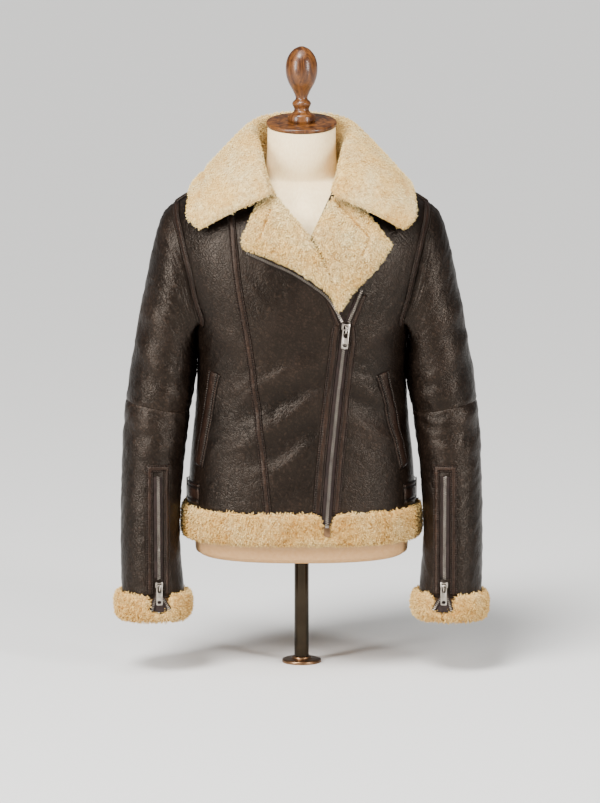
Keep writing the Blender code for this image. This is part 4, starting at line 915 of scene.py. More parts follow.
def sewnStrip(name, surface, path, left, right, finish, slot, thick=2.2, low=0.35, shape=band, node=None):
    path = refine(surface, path)
    moves = sideways(surface, path)
    share = np.ones(len(path))
    share[[0, -1]] = 0.5
    left, right, low = (widthsAlong(width, len(path)) for width in (left, right, low))
    low = low[:, 0]
    outer, inner = [], []

    def offset(across):
        return -left + (across + 1) / 2 * (left + right)

    for across, rise in zip(shape["across"], shape["rise"]):
        shifted = path + moves * offset(across)
        outer.append(surface(shifted[:, 0], shifted[:, 1], low + thick * rise * share))
        inner.append(surface(shifted[:, 0], shifted[:, 1], low - stripShape["sunk"]))
    if shape is band:
        inside = slice(1, -1)
        for across in (-stripShape["groove"], stripShape["groove"]):
            stitchLines.append(lineOn(surface, path[inside], moves[inside], offset(across)[inside],
                                      low[inside] + thick * stripShape["stitchUp"]))
    outer, inner = np.stack(outer, 1), np.stack(inner, 1)
    wear = np.clip(stripShape["wear"] + shape["rub"][None, :] + noiseAt(outer * 0.03) * 0.4, 0, 1)
    # the dark column pushes the wear below zero: painted shade in the stitch grooves and at the edges
    wear = wear - shape["dark"][None, :]
    run = travelled(outer[:, len(shape["rise"]) // 2])
    near = np.clip(1.25 - np.abs(np.abs(shape["across"]) - 0.68) * 4, 0, 1)
    marks = dict(along=run[:, None] + 0 * wear, pucker=near[None, :] + 0 * wear)
    strips[name] = hand(wallMesh(name, outer, inner, (finish,), wear=wear, **marks), slot, node)
    return strips[name]


def shoulderCloth(x, across, off=0.0):
    x, across = np.broadcast_arrays(np.asarray(x, float), np.asarray(across, float))
    row = crestRow - np.abs(across)
    turn = turnOf(x, row)
    return trunk(np.where(across < 0, turn, 180 - turn) * np.sign(x), row, off)


def addStrip(name, surface, path, left, right, **more):
    return sewnStrip(name, surface, path, left, right, trimLeather, "leather_trim", **more)


zips = dict(pitch=3.0, cuffPitch=2.6, slider=(63.4, 520.0), cuffX=213.0, cuffZ=136.0, cuffShift=-0.8)
tabRow = float(rowOfHeight(267.0))


def makeTrim():
    for sign, _, tail in bothSides:
        front, back = armLoops[sign]
        inward = (12.5, -2.5) if sign < 0 else (-2.5, 12.5)  # the strip lies on the body's side of the seam
        addStrip(f"armholeStripFront{tail}", trunk, front[42:1:-2], *inward)
        addStrip(f"armholeStripBack{tail}", trunk, back[2:38:2], *inward)
    low, high = spots(np.array([[37.8, 245.5]])), spots(np.array([[64.0, 530.0]]))
    beside = np.concatenate([low, zipEdge[1::2], high])
    toRight = spotsAlong(10, (61, 533), (52, 549), (39, 568))
    toLeft = spotsAlong(10, (67.5, 533), (75, 549), (85, 574))
    teethSide = [-7.4] * 17 + [-6.6, -5.2, -4.1, -4.1]  # nears the teeth where the zip opens
    both = addStrip("zipFacingLeft", trunk, np.concatenate([beside, toLeft]), [20] * 17 + [17, 14, 12.5, 12.5],
                    teethSide)
    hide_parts("zip_facing_left_upper")
    addStrip("zipFacingRight", trunk, np.concatenate([beside, toRight]), teethSide,
             [20] * 17 + [18.5, 14, 9, 4.4])
    addStrip("princessStrip", trunk, princessEdge[::2], 6, 6)
    weltRight = spotsAlong(20, (-127.5, 451), (-139, 380), (-151.5, 309))
    weltLeft = spotsAlong(20, (117.5, 451), (134, 380), (150.5, 308))
    addStrip("pocketWeltRight", trunk, weltRight, 15, 10, thick=2.8)
    addStrip("pocketWeltLeft", trunk, weltLeft, 10, 15, thick=2.8)
    for sign, _, tail in bothSides:
        for part, first, last in (("front", 60, 85), ("back", 95, 124)):
            turns = np.linspace(first, last, 14) * sign
            addStrip(f"waistTab{part.title()}{tail}", trunk, np.stack([turns, np.full(14, tabRow)], -1), 15, 15,
                     thick=2.6)
        legs = np.linspace(120, 308, 26)
        around = [(-12.4, z) for z in legs] + [(x, 308) for x in (-6, 0, 6)] + [(12.4, z) for z in legs[::-1]]
        around = [spotOnSleeve(sign, sign * (zips["cuffX"] + x), z) for x, z in around]
        addStrip(f"cuffFrame{tail}", cloths[sign], around, 5.4, 5.4)
        line = [(sign * x, -0.2) for x in np.linspace(70, 188, 16)]
        addStrip(f"shoulderStrip{tail}", shoulderCloth, line, 5.5, 5.5, node="")


makeTrim()
print("sewn strips made")

# Zips: tapes here, teeth and stitches by geometry nodes further on
tapeEnds = table("inner outer z", (-2.7, 2.7, 126), (-3, 2.9, 121), (-4, 4, 117), (-7, 6, 112),
                 (-10.5, 8, 105), (-12.4, 9.4, 99))


def cutEnds(line, distance):
    travel = travelled(line[0])
    last = travel[-1] - distance
    want = np.concatenate([[distance], travel[(travel > distance) & (travel < last)], [last]])
    return tuple(sampled(part, travel, want) for part in line)


def addZip(name, surface, path, half, rows, tooth, low=0.3, pitch=zips["pitch"], height=1.9):
    sewnStrip(name, surface, path, half, half, zipCloth, "zip_tape", 0.9, low, tape)
    path = refine(surface, path)
    moves = sideways(surface, path)
    for k, offset in enumerate(rows):
        line = lineOn(surface, path, moves, offset, widthsAlong(height, len(path))[:, 0])
        toothLines.append((cutEnds(line, pitch / 2) if k else line, (pitch, tooth)))


def makeZips():
    below = spots(np.array([[37.0, 227.0]]))
    addZip("mainZipClosed", trunk, np.concatenate([below, zipEdge[:-1:2]]), 7.2, (-1.15, 1.15), 2.3)
    right = spotsAlong(50, (60, 533), (51, 550), (37, 570), (12, 589), (-16, 606), (-46, 619), (-79, 633))
    addZip("mainZipBranchRight", trunk, right, 4.2, (1.4,), 3.8)
    left = spotsAlong(14, (68, 532), (75, 549), (86, 577))
    addZip("mainZipBranchLeft", trunk, left, 3.9, (-1.2,), 3.8)
    for sign, _, tail in bothSides:
        def line(points):
            return [spotOnSleeve(sign, sign * (zips["cuffX"] + x), z) for x, z in points]

        shift, cloth = zips["cuffShift"], cloths[sign]
        heights = np.linspace(zips["cuffZ"] + 9, 296, 22)
        addZip(f"cuffZip{tail}", cloth, line(zip(np.linspace(shift, 0, 22), heights)), 6.6, (-1.1, 1.1), 2.2,
               pitch=zips["cuffPitch"])
        reach = [3, 5.2, 7.8, 9.9, 10.5]
        sewnStrip(f"cuffGusset{tail}", cloth, line((shift, z) for z in np.linspace(124, 96, 14)), reach, reach,
                  zipCloth, "zip_tape", 0.8, [0.5, 0.95, 2.2, 4.7, 7.4], tape, "")
        for part in ("inner", "outer"):
            ends = spline(np.stack([tapeEnds[part] + shift, tapeEnds["z"]], -1), np.linspace(0, 5, 16))
            addZip(f"cuffTape{part.title()}{tail}", cloth, line(ends), [2.6, 3.0, 3.3, 3.4], (0.0,), 3.2,
                   [1.2, 2.0, 4.2, 7.8], zips["cuffPitch"], [2.7, 3.5, 5.7, 9.3])


makeZips()
print("zip tapes made")

# One tree sets a small shape along any line; its X runs with the line and its Z stands off the cloth


def newTree(name, *numbers):
    tree = bpy.data.node_groups.new(name, "GeometryNodeTree")
    kinds = {"Geometry": "Geometry", **dict.fromkeys(numbers, "Float"), "Shape": "Object", "Seed": "Int",
             "Finish": "Material"}
    for key, kind in kinds.items():
        tree.interface.new_socket(key, in_out="INPUT", socket_type="NodeSocket" + kind)
    tree.interface.new_socket("Geometry", in_out="OUTPUT", socket_type="NodeSocketGeometry")
    return tree, put(tree, "NodeGroupInput").outputs


def setCopies(tree, given, points, rotation, scale):
    shape = put(tree, "GeometryNodeObjectInfo", {"Object": given["Shape"]})
    copies = put(tree, "GeometryNodeInstanceOnPoints", {"Points": points, "Instance": shape.outputs["Geometry"],
                                                        "Rotation": rotation, "Scale": scale})
    real = put(tree, "GeometryNodeRealizeInstances", {"Geometry": copies.outputs[0]})
    dressed = put(tree, "GeometryNodeSetMaterial", {"Geometry": real.outputs[0], "Material": given["Finish"]})
    put(tree, "NodeGroupOutput", {"Geometry": dressed.outputs[0]})
    return tree


def named(tree, name, kind):
    return put(tree, "GeometryNodeInputNamedAttribute", {"Name": name}, data_type=kind).outputs[0]


def chance(tree, seed, least, most):
    return put(tree, "FunctionNodeRandomValue", {2: least, 3: most, "Seed": seed}, data_type="FLOAT").outputs[1]


def aligned(tree, way, axis, first=(), **more):
    inputs = dict(zip(("Vector", "Rotation"), (way, *first)))
    return put(tree, "FunctionNodeAlignRotationToVector", inputs, axis=axis, **more).outputs[0]


def pathTree():
    tree, given = newTree("shapesAlongLine", "Spacing", "Wobble")
    curve = put(tree, "GeometryNodeMeshToCurve", {"Mesh": given["Geometry"]})
    even = put(tree, "GeometryNodeResampleCurve", {"Curve": curve.outputs[0], "Length": given["Spacing"]},
               mode="LENGTH")
    first = aligned(tree, put(tree, "GeometryNodeInputTangent").outputs[0], "X")
    second = aligned(tree, named(tree, "outward", "FLOAT_VECTOR"), "Z", (first,), pivot_axis="X")
    least, most = (calc(tree, how, 1.0, given["Wobble"]) for how in ("SUBTRACT", "ADD"))
    return setCopies(tree, given, even.outputs[0], second, chance(tree, given["Seed"], least, most))


def evaluatedMesh(piece):
    bpy.context.view_layer.update()
    return bpy.data.meshes.new_from_object(piece.evaluated_get(bpy.context.evaluated_depsgraph_get()))


def bakeNodes(holder, tree, name, values):
    step = holder.modifiers.new(tree.name, "NODES")
    step.node_group = tree
    for item in tree.interface.items_tree:
        if item.item_type == "SOCKET" and item.in_out == "INPUT" and item.name in values:
            step[item.identifier] = values[item.name]
    holder.update_tag()
    mesh = evaluatedMesh(holder)
    mesh.name = name
    bpy.data.objects.remove(holder)
    return addToScene(name, mesh)


def lineHolder(name, lines):
    points, normals, edges = [], [], []
    for line, outward in lines:
        start = len(points)
        points.extend((line * mm).tolist())
        normals.extend(outward.tolist())
        edges.extend((start + k, start + k + 1) for k in range(len(line) - 1))
    mesh = bpy.data.meshes.new(name)
    mesh.from_pydata(points, edges, [])
    mesh.attributes.new("outward", "FLOAT_VECTOR", "POINT").data.foreach_set(
        "vector", np.asarray(normals, np.float32).ravel())
    return addToScene(name, mesh)


def circle(sides):
    return [(math.cos(2 * math.pi * k / sides), math.sin(2 * math.pi * k / sides)) for k in range(sides)]


stitching = dict(spacing=3.3, length=2.3, radius=0.42, wobble=0.06, seed=11)
toothSize = dict(along=1.15, tall=1.6, bevel=0.28, wobble=0.03, seed=5)


def makeStitches():
    half, radius = stitching["length"] / 2, stitching["radius"]
    points = [(x, r * c, r * s) for x, r in ((-half, radius * 0.45), (0, radius), (half, radius * 0.45))
              for c, s in circle(4)]
    shape = makeMesh("oneStitch", points, tubeFaces(3, 4), ())
    made = bakeNodes(lineHolder("stitchPaths", stitchLines), lineTree, "stitches", {
        "Spacing": stitching["spacing"] * mm, "Shape": shape, "Wobble": stitching["wobble"],
        "Seed": stitching["seed"], "Finish": thread})
    bpy.data.objects.remove(shape)
    return hand(made, "leather_trim", "")


def oneTooth(pitch, across):
    block = bmesh.new()
    bmesh.ops.create_cube(block, size=1)
    size = Vector((toothSize["along"] * pitch / zips["pitch"], across, toothSize["tall"])) * mm
    bmesh.ops.scale(block, vec=size, verts=block.verts)
    bmesh.ops.bevel(block, geom=block.edges[:], offset=toothSize["bevel"] * mm, segments=1, affect="EDGES")
    return addToScene("oneTooth", meshFrom("oneTooth", block))


def makeTeeth():
    made = []
    for k, (pitch, across) in enumerate(sorted({size for line, size in toothLines})):
        shape = oneTooth(pitch, across)
        lines = [line for line, own in toothLines if own == (pitch, across)]
        made.append(hand(bakeNodes(lineHolder("toothPaths", lines), lineTree, f"zipTeeth{k}", {
            "Spacing": pitch * mm, "Shape": shape, "Wobble": toothSize["wobble"], "Seed": toothSize["seed"],
            "Finish": nickel}), "nickel", ""))
        bpy.data.objects.remove(shape)
    return made


lineTree = pathTree()
stitches = makeStitches()
teeth = makeTeeth()
print("stitches and zip teeth made:", len(stitches.data.polygons), [len(t.data.polygons) for t in teeth])

# Wool: a crumbly skin, and short curled locks set on it by geometry nodes
wool = dict(clump=6.0, fineHeight=0.5, roundEdge=7.0, grooveWidth=1.9)


def crumble(piece, clumpHeight, tan, parted=None, longest=1.0):
    mesh = piece.data
    count = len(mesh.vertices)
    place, away = np.zeros(count * 3), np.zeros(count * 3)
    mesh.vertices.foreach_get("co", place)
    mesh.vertices.foreach_get("normal", away)
    place, away = place.reshape(-1, 3), away.reshape(-1, 3)
    scaled = (place / (wool["clump"] * mm)).tolist()
    lumps = np.array([1 - 1.6 * noise.voronoi(p)[0][0] for p in scaled])
    fine, broad = (np.array([noise.noise([c * size for c in p]) for p in scaled]) for size in (2.7, 0.16))
    long = longest * (np.ones(count) if parted is None else 1 + np.resize(parted, count) * 0.32)
    move = (lumps * clumpHeight + fine * wool["fineHeight"]) * long
    mesh.vertices.foreach_set("co", (place + away * move[:, None] * mm).ravel())
    # tip is lighter on the clumps' tops and darker in the hollows between them: painted shade
    writeMarks(mesh, dict(tip=np.clip(0.32 + 0.42 * lumps, 0, 1) * long, long=long,
                          # tan also rises where a parting shortens the locks: painted shade in the partings;
                          # the broad noise is the wool's own tone
                          tan=np.clip(tan + broad * 0.5 + (longest - long) * 0.8, 0, 1)))
    mesh.update()


def roundShare(away, reach):
    return np.sqrt(np.maximum(1 - (1 - np.clip(away / reach, 0, 1))**2, 0.0))


def groove(points, lines, depth=2.2):
    total = np.zeros(points.shape[:-1])
    flat = points[..., [0, 2]]
    for line in np.array(lines, float):
        for a, b in zip(line[:-1], line[1:]):
            share = np.clip(((flat - a) @ (b - a)) / ((b - a) @ (b - a)), 0, 1)
            away = np.linalg.norm(flat - a - share[..., None] * (b - a), axis=-1)
            total = np.minimum(total, -depth * np.exp(-(away / wool["grooveWidth"])**2))
    return total


lapelShape = dict(thick=9.0, low=1.3, foot=(556.0, 548.0), rows=84, columns=50, over=4.4, top=709)
lapelCreases = dict(lapelRight=[((-45, 690), (-60, 652))], lapelLeft=[((46, 704), (96, 652), (87, 628))])


def woolPatch(name, left, right, bottom, top):
    grid = coons(left, right, bottom, top)
    flat = trunkSpot(grid[..., 0], grid[..., 1])
    turn, row = flat[..., 0], flat[..., 1]
    plain = trunkPlain(turn, row)
    away = edgeDistance(plain)
    full = lapelShape["low"] + lapelShape["thick"] * roundShare(away, wool["roundEdge"]) * (
        0.86 + 0.14 * ease(away / 22))
    parted = groove(plain, lapelCreases[name])
    piece = wallMesh(name, trunk(turn, row, full + parted), trunk(turn, row, lapelShape["low"] - 0.3),
                     (fleece, leather), wear=np.full(away.shape, 0.2))
    crumble(piece, 1.3, 0.12, np.concatenate([parted.ravel()] * 2))
    return hand(piece, "wool")


def rollEdge(points, reach):  # the lapel's inner edge, a little past the roll line
    points = evenly(points, lapelShape["rows"])
    share = 0.75 + 1.0 * ease((points[:, 1:] - (rollMeets - 5)) / 12) * (1 if reach < 0 else 0.3)
    return points + share * [reach, 0]


def makeLapels():
    rows, columns, limit = lapelShape["rows"], lapelShape["columns"], lapelShape["top"]
    u = np.linspace(0, 1, columns)
    roll, upper = along(rollRight, 300), along(rollLeft, 120)
    foot = [roll[:, 1] > height for height in lapelShape["foot"]]
    edge = along(((50.5, 559), (40, 575), (14, 595), (-14, 612), (-44, 625), (-81, 638)), rows)
    inside = rollEdge(roll[foot[0] & (roll[:, 1] < limit)], lapelShape["over"])
    top = along(((-81, 638), (-86, 649), (-74, 677), (-59, 703), (-38, 709)), columns)
    right = woolPatch("lapelRight", edge, inside, level(edge[0], inside[0], u), top)
    lower = roll[foot[1] & (roll[:, 1] < rollMeets - 1)]
    inside = rollEdge(np.concatenate([lower, upper[upper[:, 1] < limit]]), -lapelShape["over"])
    edge = along(((57, 551), (74.5, 577), (110.5, 613), (130, 641)), rows)
    top = along(((130, 641), (98, 681), (76, 702), (46, 709)), columns)[::-1]
    return right, woolPatch("lapelLeft", inside, edge, level(inside[0], edge[0], u), top)


collarRings = table(
    "standX standY standZ rollX rollY rollZ midX midY midZ edgeX edgeY edgeZ",
    (46, -106, 718, 62, -112, 711, 100, -111, 692, 150, -101, 665),
    (55, -76, 744, 65, -84, 753, 112, -94, 722, 168, -88, 681),
    (62, -30, 768, 72, -32, 784, 116, -46, 755, 167, -50, 706),
    (65, 16, 772, 76, 20, 801, 117, 22, 767, 160, 12, 722),
    (54, 52, 775, 62, 62, 814, 94, 80, 780, 124, 86, 722),
    (28, 68, 778, 34, 84, 820, 50, 108, 786, 68, 118, 724),
    (0, 72, 778, 0, 90, 822, 0, 114, 787, 0, 126, 724),
)
collarShape = dict(base=4.0, lift=0.9, thick=(4, 8, 10, 11, 10), perStation=13, edge=7.0)
collarCreases = [((-141, 748), (-149, 708)), ((147, 732), (153, 710))]


def neckPoints(sign, count):
    front, back = spots(along(neckFront[sign], 60)), spots(along(neckBack, 60) * [sign, 1], 1)
    front[-1, 1] = back[0, 1] = crestRow
    edge = np.concatenate([trunk(*front.T), trunk(*back[1:].T)])
    normal = np.concatenate([trunkNormal(*front.T), trunkNormal(*back[1:].T)])
    both = evenly(np.concatenate([edge, normal * 0.001], axis=1), count)
    edge, normal = both[:, :3], unit(both[:, 3:])
    return edge, normal, unit(np.cross(np.gradient(edge, axis=0), normal)) * sign


def runFrom(points, axis):
    first = points.take([0], axis)
    return np.cumsum(np.linalg.norm(np.diff(points, axis=axis, prepend=first), axis=-1), axis=axis)


def collarEdges(middle):  # how far each point is from the leaf's edges; the stand's foot doesn't count
    away, up = edgeDistance(middle), runFrom(middle, 1)
    near = np.minimum(away + 99, edgeDistance(np.swapaxes(middle, 0, 1), True).T + 99)
    ends = runFrom(middle, 0)
    ends = np.minimum(ends, ends[-1:] - ends)
    return np.minimum(np.where(up < up[:, -1:] / 2, near, away), ends + 0.4)


def makeCollar():
    stations, paths, per, base = [], [], collarShape["perStation"], collarShape["base"]
    for sign in (-1, 1):
        edge, normal, away = neckPoints(sign, 6 * per + 1)
        edge = edge + normal * collarShape["lift"]
        grid = [(edge + (normal + away) * base / 2)[::per]]
        for part in ("stand", "roll", "mid", "edge"):
            grid.append(np.stack([collarRings[part + axis] for axis in "XYZ"], -1) * [sign, 1, 1])
        grid, flat = np.stack(grid, 1), [edge, edge + away * base + normal * 0.4]
        if sign > 0:
            grid, flat = grid[::-1][1:], [side[::-1][1:] for side in flat]
        stations.append(grid)
        paths.append(flat)
    control = np.concatenate(stations)
    inside, outside = (np.concatenate(halves) for halves in zip(*paths))
    atPath = np.concatenate([np.linspace(0, 3.8, 46), [3.86, 3.91, 3.95, 3.98, 4.0]])
    middle = spline(control, np.linspace(0, len(control) - 1, len(inside)))
    middle = np.swapaxes(spline(np.swapaxes(middle, 0, 1), atPath), 0, 1)
    normal = unit(np.cross(np.gradient(middle, axis=0), np.gradient(middle, atPath, axis=1)))
    share = roundShare(collarEdges(middle), collarShape["edge"])
    half = spline(np.array(collarShape["thick"], float), atPath)[None, :] / 2
    parted = groove(middle, collarCreases, 2.0)
    woolSide = middle + normal * (half * (share * 1.15 - 0.15) - 1.5 + parted)[..., None]
    hideSide = middle - normal * (half * (0.35 + 0.65 * share))[..., None]
    woolSide[:, 0], hideSide[:, 0] = inside, outside
    piece = wallMesh("collarWool", woolSide, hideSide, (fleece, leather), wear=np.full(share.shape, 0.25))
    crumble(piece, 1.1, 0.0, np.concatenate([parted.ravel()] * 2), 0.74)
    return hand(piece, "wool", "collar")


hemSection = ((245.5, 1.4), (243.5, 4.6), (237, 6.2), (228, 6.6), (216, 6.6), (206, 5.6), (201.5, 2.8),
              (200.5, -0.6), (203, -3.6), (220, -4.2), (241.4, -3.8), (242.4, 0.5))
cuffSection = ((13.93, 1.6), (13.97, 6), (14.1, 8.6), (14.3, 9), (14.5, 8), (14.63, 4.6), (14.67, 0.6),
               (14.62, -3), (14.4, -4), (14.03, -3.8), (14.012, 0.4))
tube = dict(around=40, unshadedShare=0.68, ends=5.0, clump=1.9, tan=0.65)


def closedLine(points):
    points, count = np.array(points, float), tube["around"]
    wrapped = np.concatenate([points[-2:], points, points[:3]])
    return spline(wrapped, np.linspace(2, 2 + len(points), count + 1)[:-1]).T


def woolTube(name, sections, node):
    centre = sections.mean(axis=1)
    travel = travelled(centre)
    share = roundShare(np.minimum(travel, travel[-1] - travel) + 0.15, tube["ends"])
    sections = centre[:, None] + (sections - centre[:, None]) * share[:, None, None]
    count, around = sections.shape[:2]
    # faces past this share of the section, on the tube's inner side against the leather, get the darker fleece
    # copy: painted shade
    shadedFaces = np.where(np.arange(around) >= tube["unshadedShare"] * around, 1, 0).tolist()
    piece = makeMesh(name, sections.reshape(-1, 3), tubeFaces(count, around), (fleece, fleeceInShade),
                     shadedFaces * (count - 1) + [0, 0], {"wear": np.full(count * around, 0.2)})
    crumble(piece, tube["clump"], tube["tan"])
    return hand(piece, "wool", node)


def tubeTurns(first, last, count, share, reach):  # fine at the ends, where the wool leans in to close the gap
    u = [0, 0.0006, 0.002, 0.0045, *np.linspace(0.009, 0.991, count), 0.9955, 0.998, 0.9994, 1]
    turns = first + (last - first) * np.array(u)
    ends = 1 - ease(np.minimum(turns - turns[0], turns[-1] - turns) / (3 * reach))
    way = np.where(turns < turns.mean(), -1, 1)
    return turns[:, None] + (ends * way)[:, None] * share[None, :] * reach


def makeHem():
    left, right = trunkSpot(48.5, 220.0)[0], trunkSpot(25.5, 220.0)[0] + 360
    height, off = closedLine(hemSection)
    turns = tubeTurns(left, right, 300, ease((212.5 - height) / 5), 4.6)
    return woolTube("hemWool", trunk(turns, rowOfHeight(height)[None, :], off[None, :]), "hem_band")


def makeCuffs():
    row, off = closedLine(cuffSection)
    for sign, side, tail in bothSides:
        gap = spotOnSleeve(sign, sign * (zips["cuffX"] - 2.5), 100.0)[0]
        turns = tubeTurns(gap + 20, gap + 340, 110, ease((row - 14.4) / 0.14), 24.0)
        yield woolTube(f"cuffWool{tail}", sleeve(sign, turns, row[None, :], off[None, :]), f"cuff_{side}")


woolPieces = [*makeLapels(), makeCollar(), makeHem(), *makeCuffs()]
print("wool skins made:", [len(piece.data.polygons) for piece in woolPieces])


def pileTree():
    tree, given = newTree("locksOnSkin", "Density", "Lean", "Swirl", "Shortest")
    slot = put(tree, "GeometryNodeInputMaterialIndex")
    woolly = put(tree, "FunctionNodeCompare", {2: slot.outputs[0]}, data_type="INT", operation="EQUAL")
    points = put(tree, "GeometryNodeDistributePointsOnFaces",
                 {"Mesh": given["Geometry"], "Selection": woolly.outputs[0], "Density": given["Density"],
                  "Seed": given["Seed"]}).outputs
    swirl = clouds(tree, put(tree, "GeometryNodeInputPosition").outputs[0], given["Swirl"], 1.0, "Color")
    centred = vectors(tree, "SUBTRACT", {0: swirl, 1: (0.5, 0.5, 0.5)})
    leaning = vectors(tree, "SCALE", {0: centred, "Scale": given["Lean"]})
    hanging = vectors(tree, "ADD", {0: leaning, 1: (0, 0, -0.35)})
    upright = aligned(tree, vectors(tree, "ADD", {0: points["Normal"], 1: hanging}), "Z")
    spin = put(tree, "FunctionNodeAxisAngleToRotation",
               {"Axis": (0, 0, 1), "Angle": chance(tree, given["Seed"], 0.0, 6.283)})
    spun = put(tree, "FunctionNodeRotateRotation", {"Rotation": upright, "Rotate By": spin.outputs[0]},
               rotation_space="LOCAL")
    size = calc(tree, "MULTIPLY", chance(tree, 3, given["Shortest"], 1.15), named(tree, "long", "FLOAT"))
    return setCopies(tree, given, points["Points"], spun.outputs[0], size)


lockShape = dict(length=4.8, radius=0.8, curl=1.9)
pile = dict(Lean=3.2, Swirl=135.0, Shortest=0.6)
density = dict(lapelRight=280000, lapelLeft=270000, collarWool=150000, hemWool=245000, cuffWoolRight=240000,
               cuffWoolLeft=240000)


def oneLock():
    points, tips, size = [], [], lockShape["radius"]
    # tip darkens each lock towards its root: painted shade
    for up, radius, shift, tip in ((-0.12, 0.9, 0.0, 0.15), (0.6, 0.85, 0.4, 0.75)):
        for c, s in circle(3):
            points.append((shift * lockShape["curl"] + radius * size * c, radius * size * s,
                           up * lockShape["length"]))
            tips.append(tip)
    points.append((1.25 * lockShape["curl"], 0, 0.93 * lockShape["length"]))
    faces = tubeFaces(2, 3)[:-2] + [(3 + k, 3 + (k + 1) % 3, 6) for k in range(3)]
    return makeMesh("oneLock", points, faces, (), marks={"tip": tips + [1.0]})


def makePile():
    tree, lock = pileTree(), oneLock()
    made = {}
    for k, skin in enumerate(woolPieces):
        name = skin.name + "Pile"
        values = {"Density": float(density[skin.name]), "Shape": lock, "Seed": 20 + k, "Finish": fleece, **pile}
        baked = bakeNodes(addToScene("pileHolder", skin.data.copy()), tree, name, values)
        made[skin.name] = hand(baked, "wool", "")
        print(name, sum(len(face.vertices) - 2 for face in baked.data.polygons), "triangles")
    bpy.data.objects.remove(lock)
    return made


piles = makePile()
print("wool pile made")

# Metal: sliders, pull tabs, end box and side rings. Outlines are seen from the front, depths run outwards
sliderShape = dict(
    crown=[(6.5, 8), (6.0, 9.1), (5.0, 9.6), (1.6, 8.2), (-1.6, 8.2), (-5.0, 9.6), (-6.0, 9.1), (-6.5, 8)],
    tail=[(-6.1, 1), (-4.6, -7), (-3.4, -8.4), (3.4, -8.4), (4.6, -7), (6.1, 1)],
    shortTail=[(-6.3, 0.5), (-2.6, -1.5), (2.6, -1.5), (6.3, 0.5)],
    arch=[(5.4, 4.8), (5.2, 7.4), (4.4, 8.7), (3.0, 9.2), (0, 9.4), (-3.0, 9.2), (-4.4, 8.7), (-5.2, 7.4),
          (-5.4, 4.8)],
    gap=(3.0, -4.0, 6.9, 1.4), post=(1.5, 2.2, 8.0, 0.7), plate=1.4, top=(3.9, 5.4), bridgeHalf=0.6, pivot=7.1,
)
pullShape = dict(half=5.3, top=1.0, corner=1.8, thick=0.8, bevel=0.5, cut=2, slot=(3.2, -11.8, -1.0, 1.2),
                 hole=(3.3, 2.5, 7.6, 2.4))
mainSlider = dict(lean=0.09, scale=1.0, base=1.2, drop=0.0, low=-27.8)
cuffSlider = dict(lean=0.0, scale=0.9, base=1.4, drop=4.0, low=-33.0)


def plateMesh(name, outline, low, high, place, finish=nickel):
    points = np.array([(x, z, at) for at in (low, high) for x, z in outline], float)
    points, faces = points @ place[:3, :3].T + place[:3, 3], tubeFaces(2, len(outline))
    return makeMesh(name, points, faces[-2:] + faces[:-2], (finish,), smooth=False)


def roundedBox(half, low, high, corner, steps=4):
    outline = []
    for x, z, start in ((half - corner, high - corner, 0), (corner - half, high - corner, 90),
                        (corner - half, low + corner, 180), (half - corner, low + corner, 270)):
        for k in range(steps + 1):
            turn = math.radians(start + 90 * k / steps)
            outline.append((x + corner * math.cos(turn), z + corner * math.sin(turn)))
    return outline


def settle(piece, bevel=0.0, cutters=()):
    for cutter in cutters:
        cut = piece.modifiers.new("cut", "BOOLEAN")
        cut.operation, cut.object, cut.solver = "DIFFERENCE", cutter, "EXACT"
    if bevel:
        soft = piece.modifiers.new("soft", "BEVEL")
        soft.width, soft.segments, soft.limit_method = bevel * mm, 2, "ANGLE"
    name, mesh = piece.name, evaluatedMesh(piece)
    for old in (piece, *cutters):
        bpy.data.objects.remove(old)
    mesh.shade_smooth()
    mesh.set_sharp_from_angle(angle=math.radians(35))
    return addToScene(name, mesh)


def join(name, parts):
    work = bmesh.new()
    finishes = []
    for part in parts:
        finishes.extend(m for m in part.data.materials if m not in finishes)
        start = len(work.faces)
        work.from_mesh(part.data)
        work.faces.ensure_lookup_table()
        for face in work.faces[start:]:
            face.material_index = finishes.index(part.data.materials[face.material_index])
        bpy.data.objects.remove(part)
    mesh = meshFrom(name, work)
    for finish in finishes:
        mesh.materials.append(finish)
    return addToScene(name, mesh)


def wireMesh(name, points, radius):
    points, sides = np.asarray(points, float), 10
    ways = unit(np.roll(points, -1, axis=0) - np.roll(points, 1, axis=0))
    flat = unit(np.cross(points[1] - points[0], points[len(points) // 2] - points[0]))
    outward = np.cross(ways, flat)
    grid = np.stack([points + radius * (c * outward + s * flat) for c, s in circle(sides)], 1)
    return makeMesh(name, grid.reshape(-1, 3), quads(tubeIndex(len(points), sides, 1)).tolist(), (nickel,))


def bridgeMesh(place):
    arch, sections = sliderShape["arch"], []
    for k, (high, off) in enumerate(arch):
        a = np.array(arch[max(k - 1, 0)], float)
        b = np.array(arch[min(k + 1, len(arch) - 1)], float)
        z, y = unit(np.array([(b - a)[1], -(b - a)[0]])) * sliderShape["bridgeHalf"]
        wide = 0.9 + 0.08 * (high + 5.4)
        sections.append([(-wide, high - z, off - y), (wide, high - z, off - y),
                         (wide, high + z, off + y), (-wide, high + z, off + y)])
    count = len(sections)
    points = (np.array(sections) @ place[:3, :3].T + place[:3, 3]).reshape(-1, 3)
    faces = [(0, 1, 2, 3), tuple(4 * count - 1 - k for k in range(4))] + tubeFaces(count, 4)[:-2]
    return makeMesh("sliderBridge", points, faces, (nickel,), smooth=False)


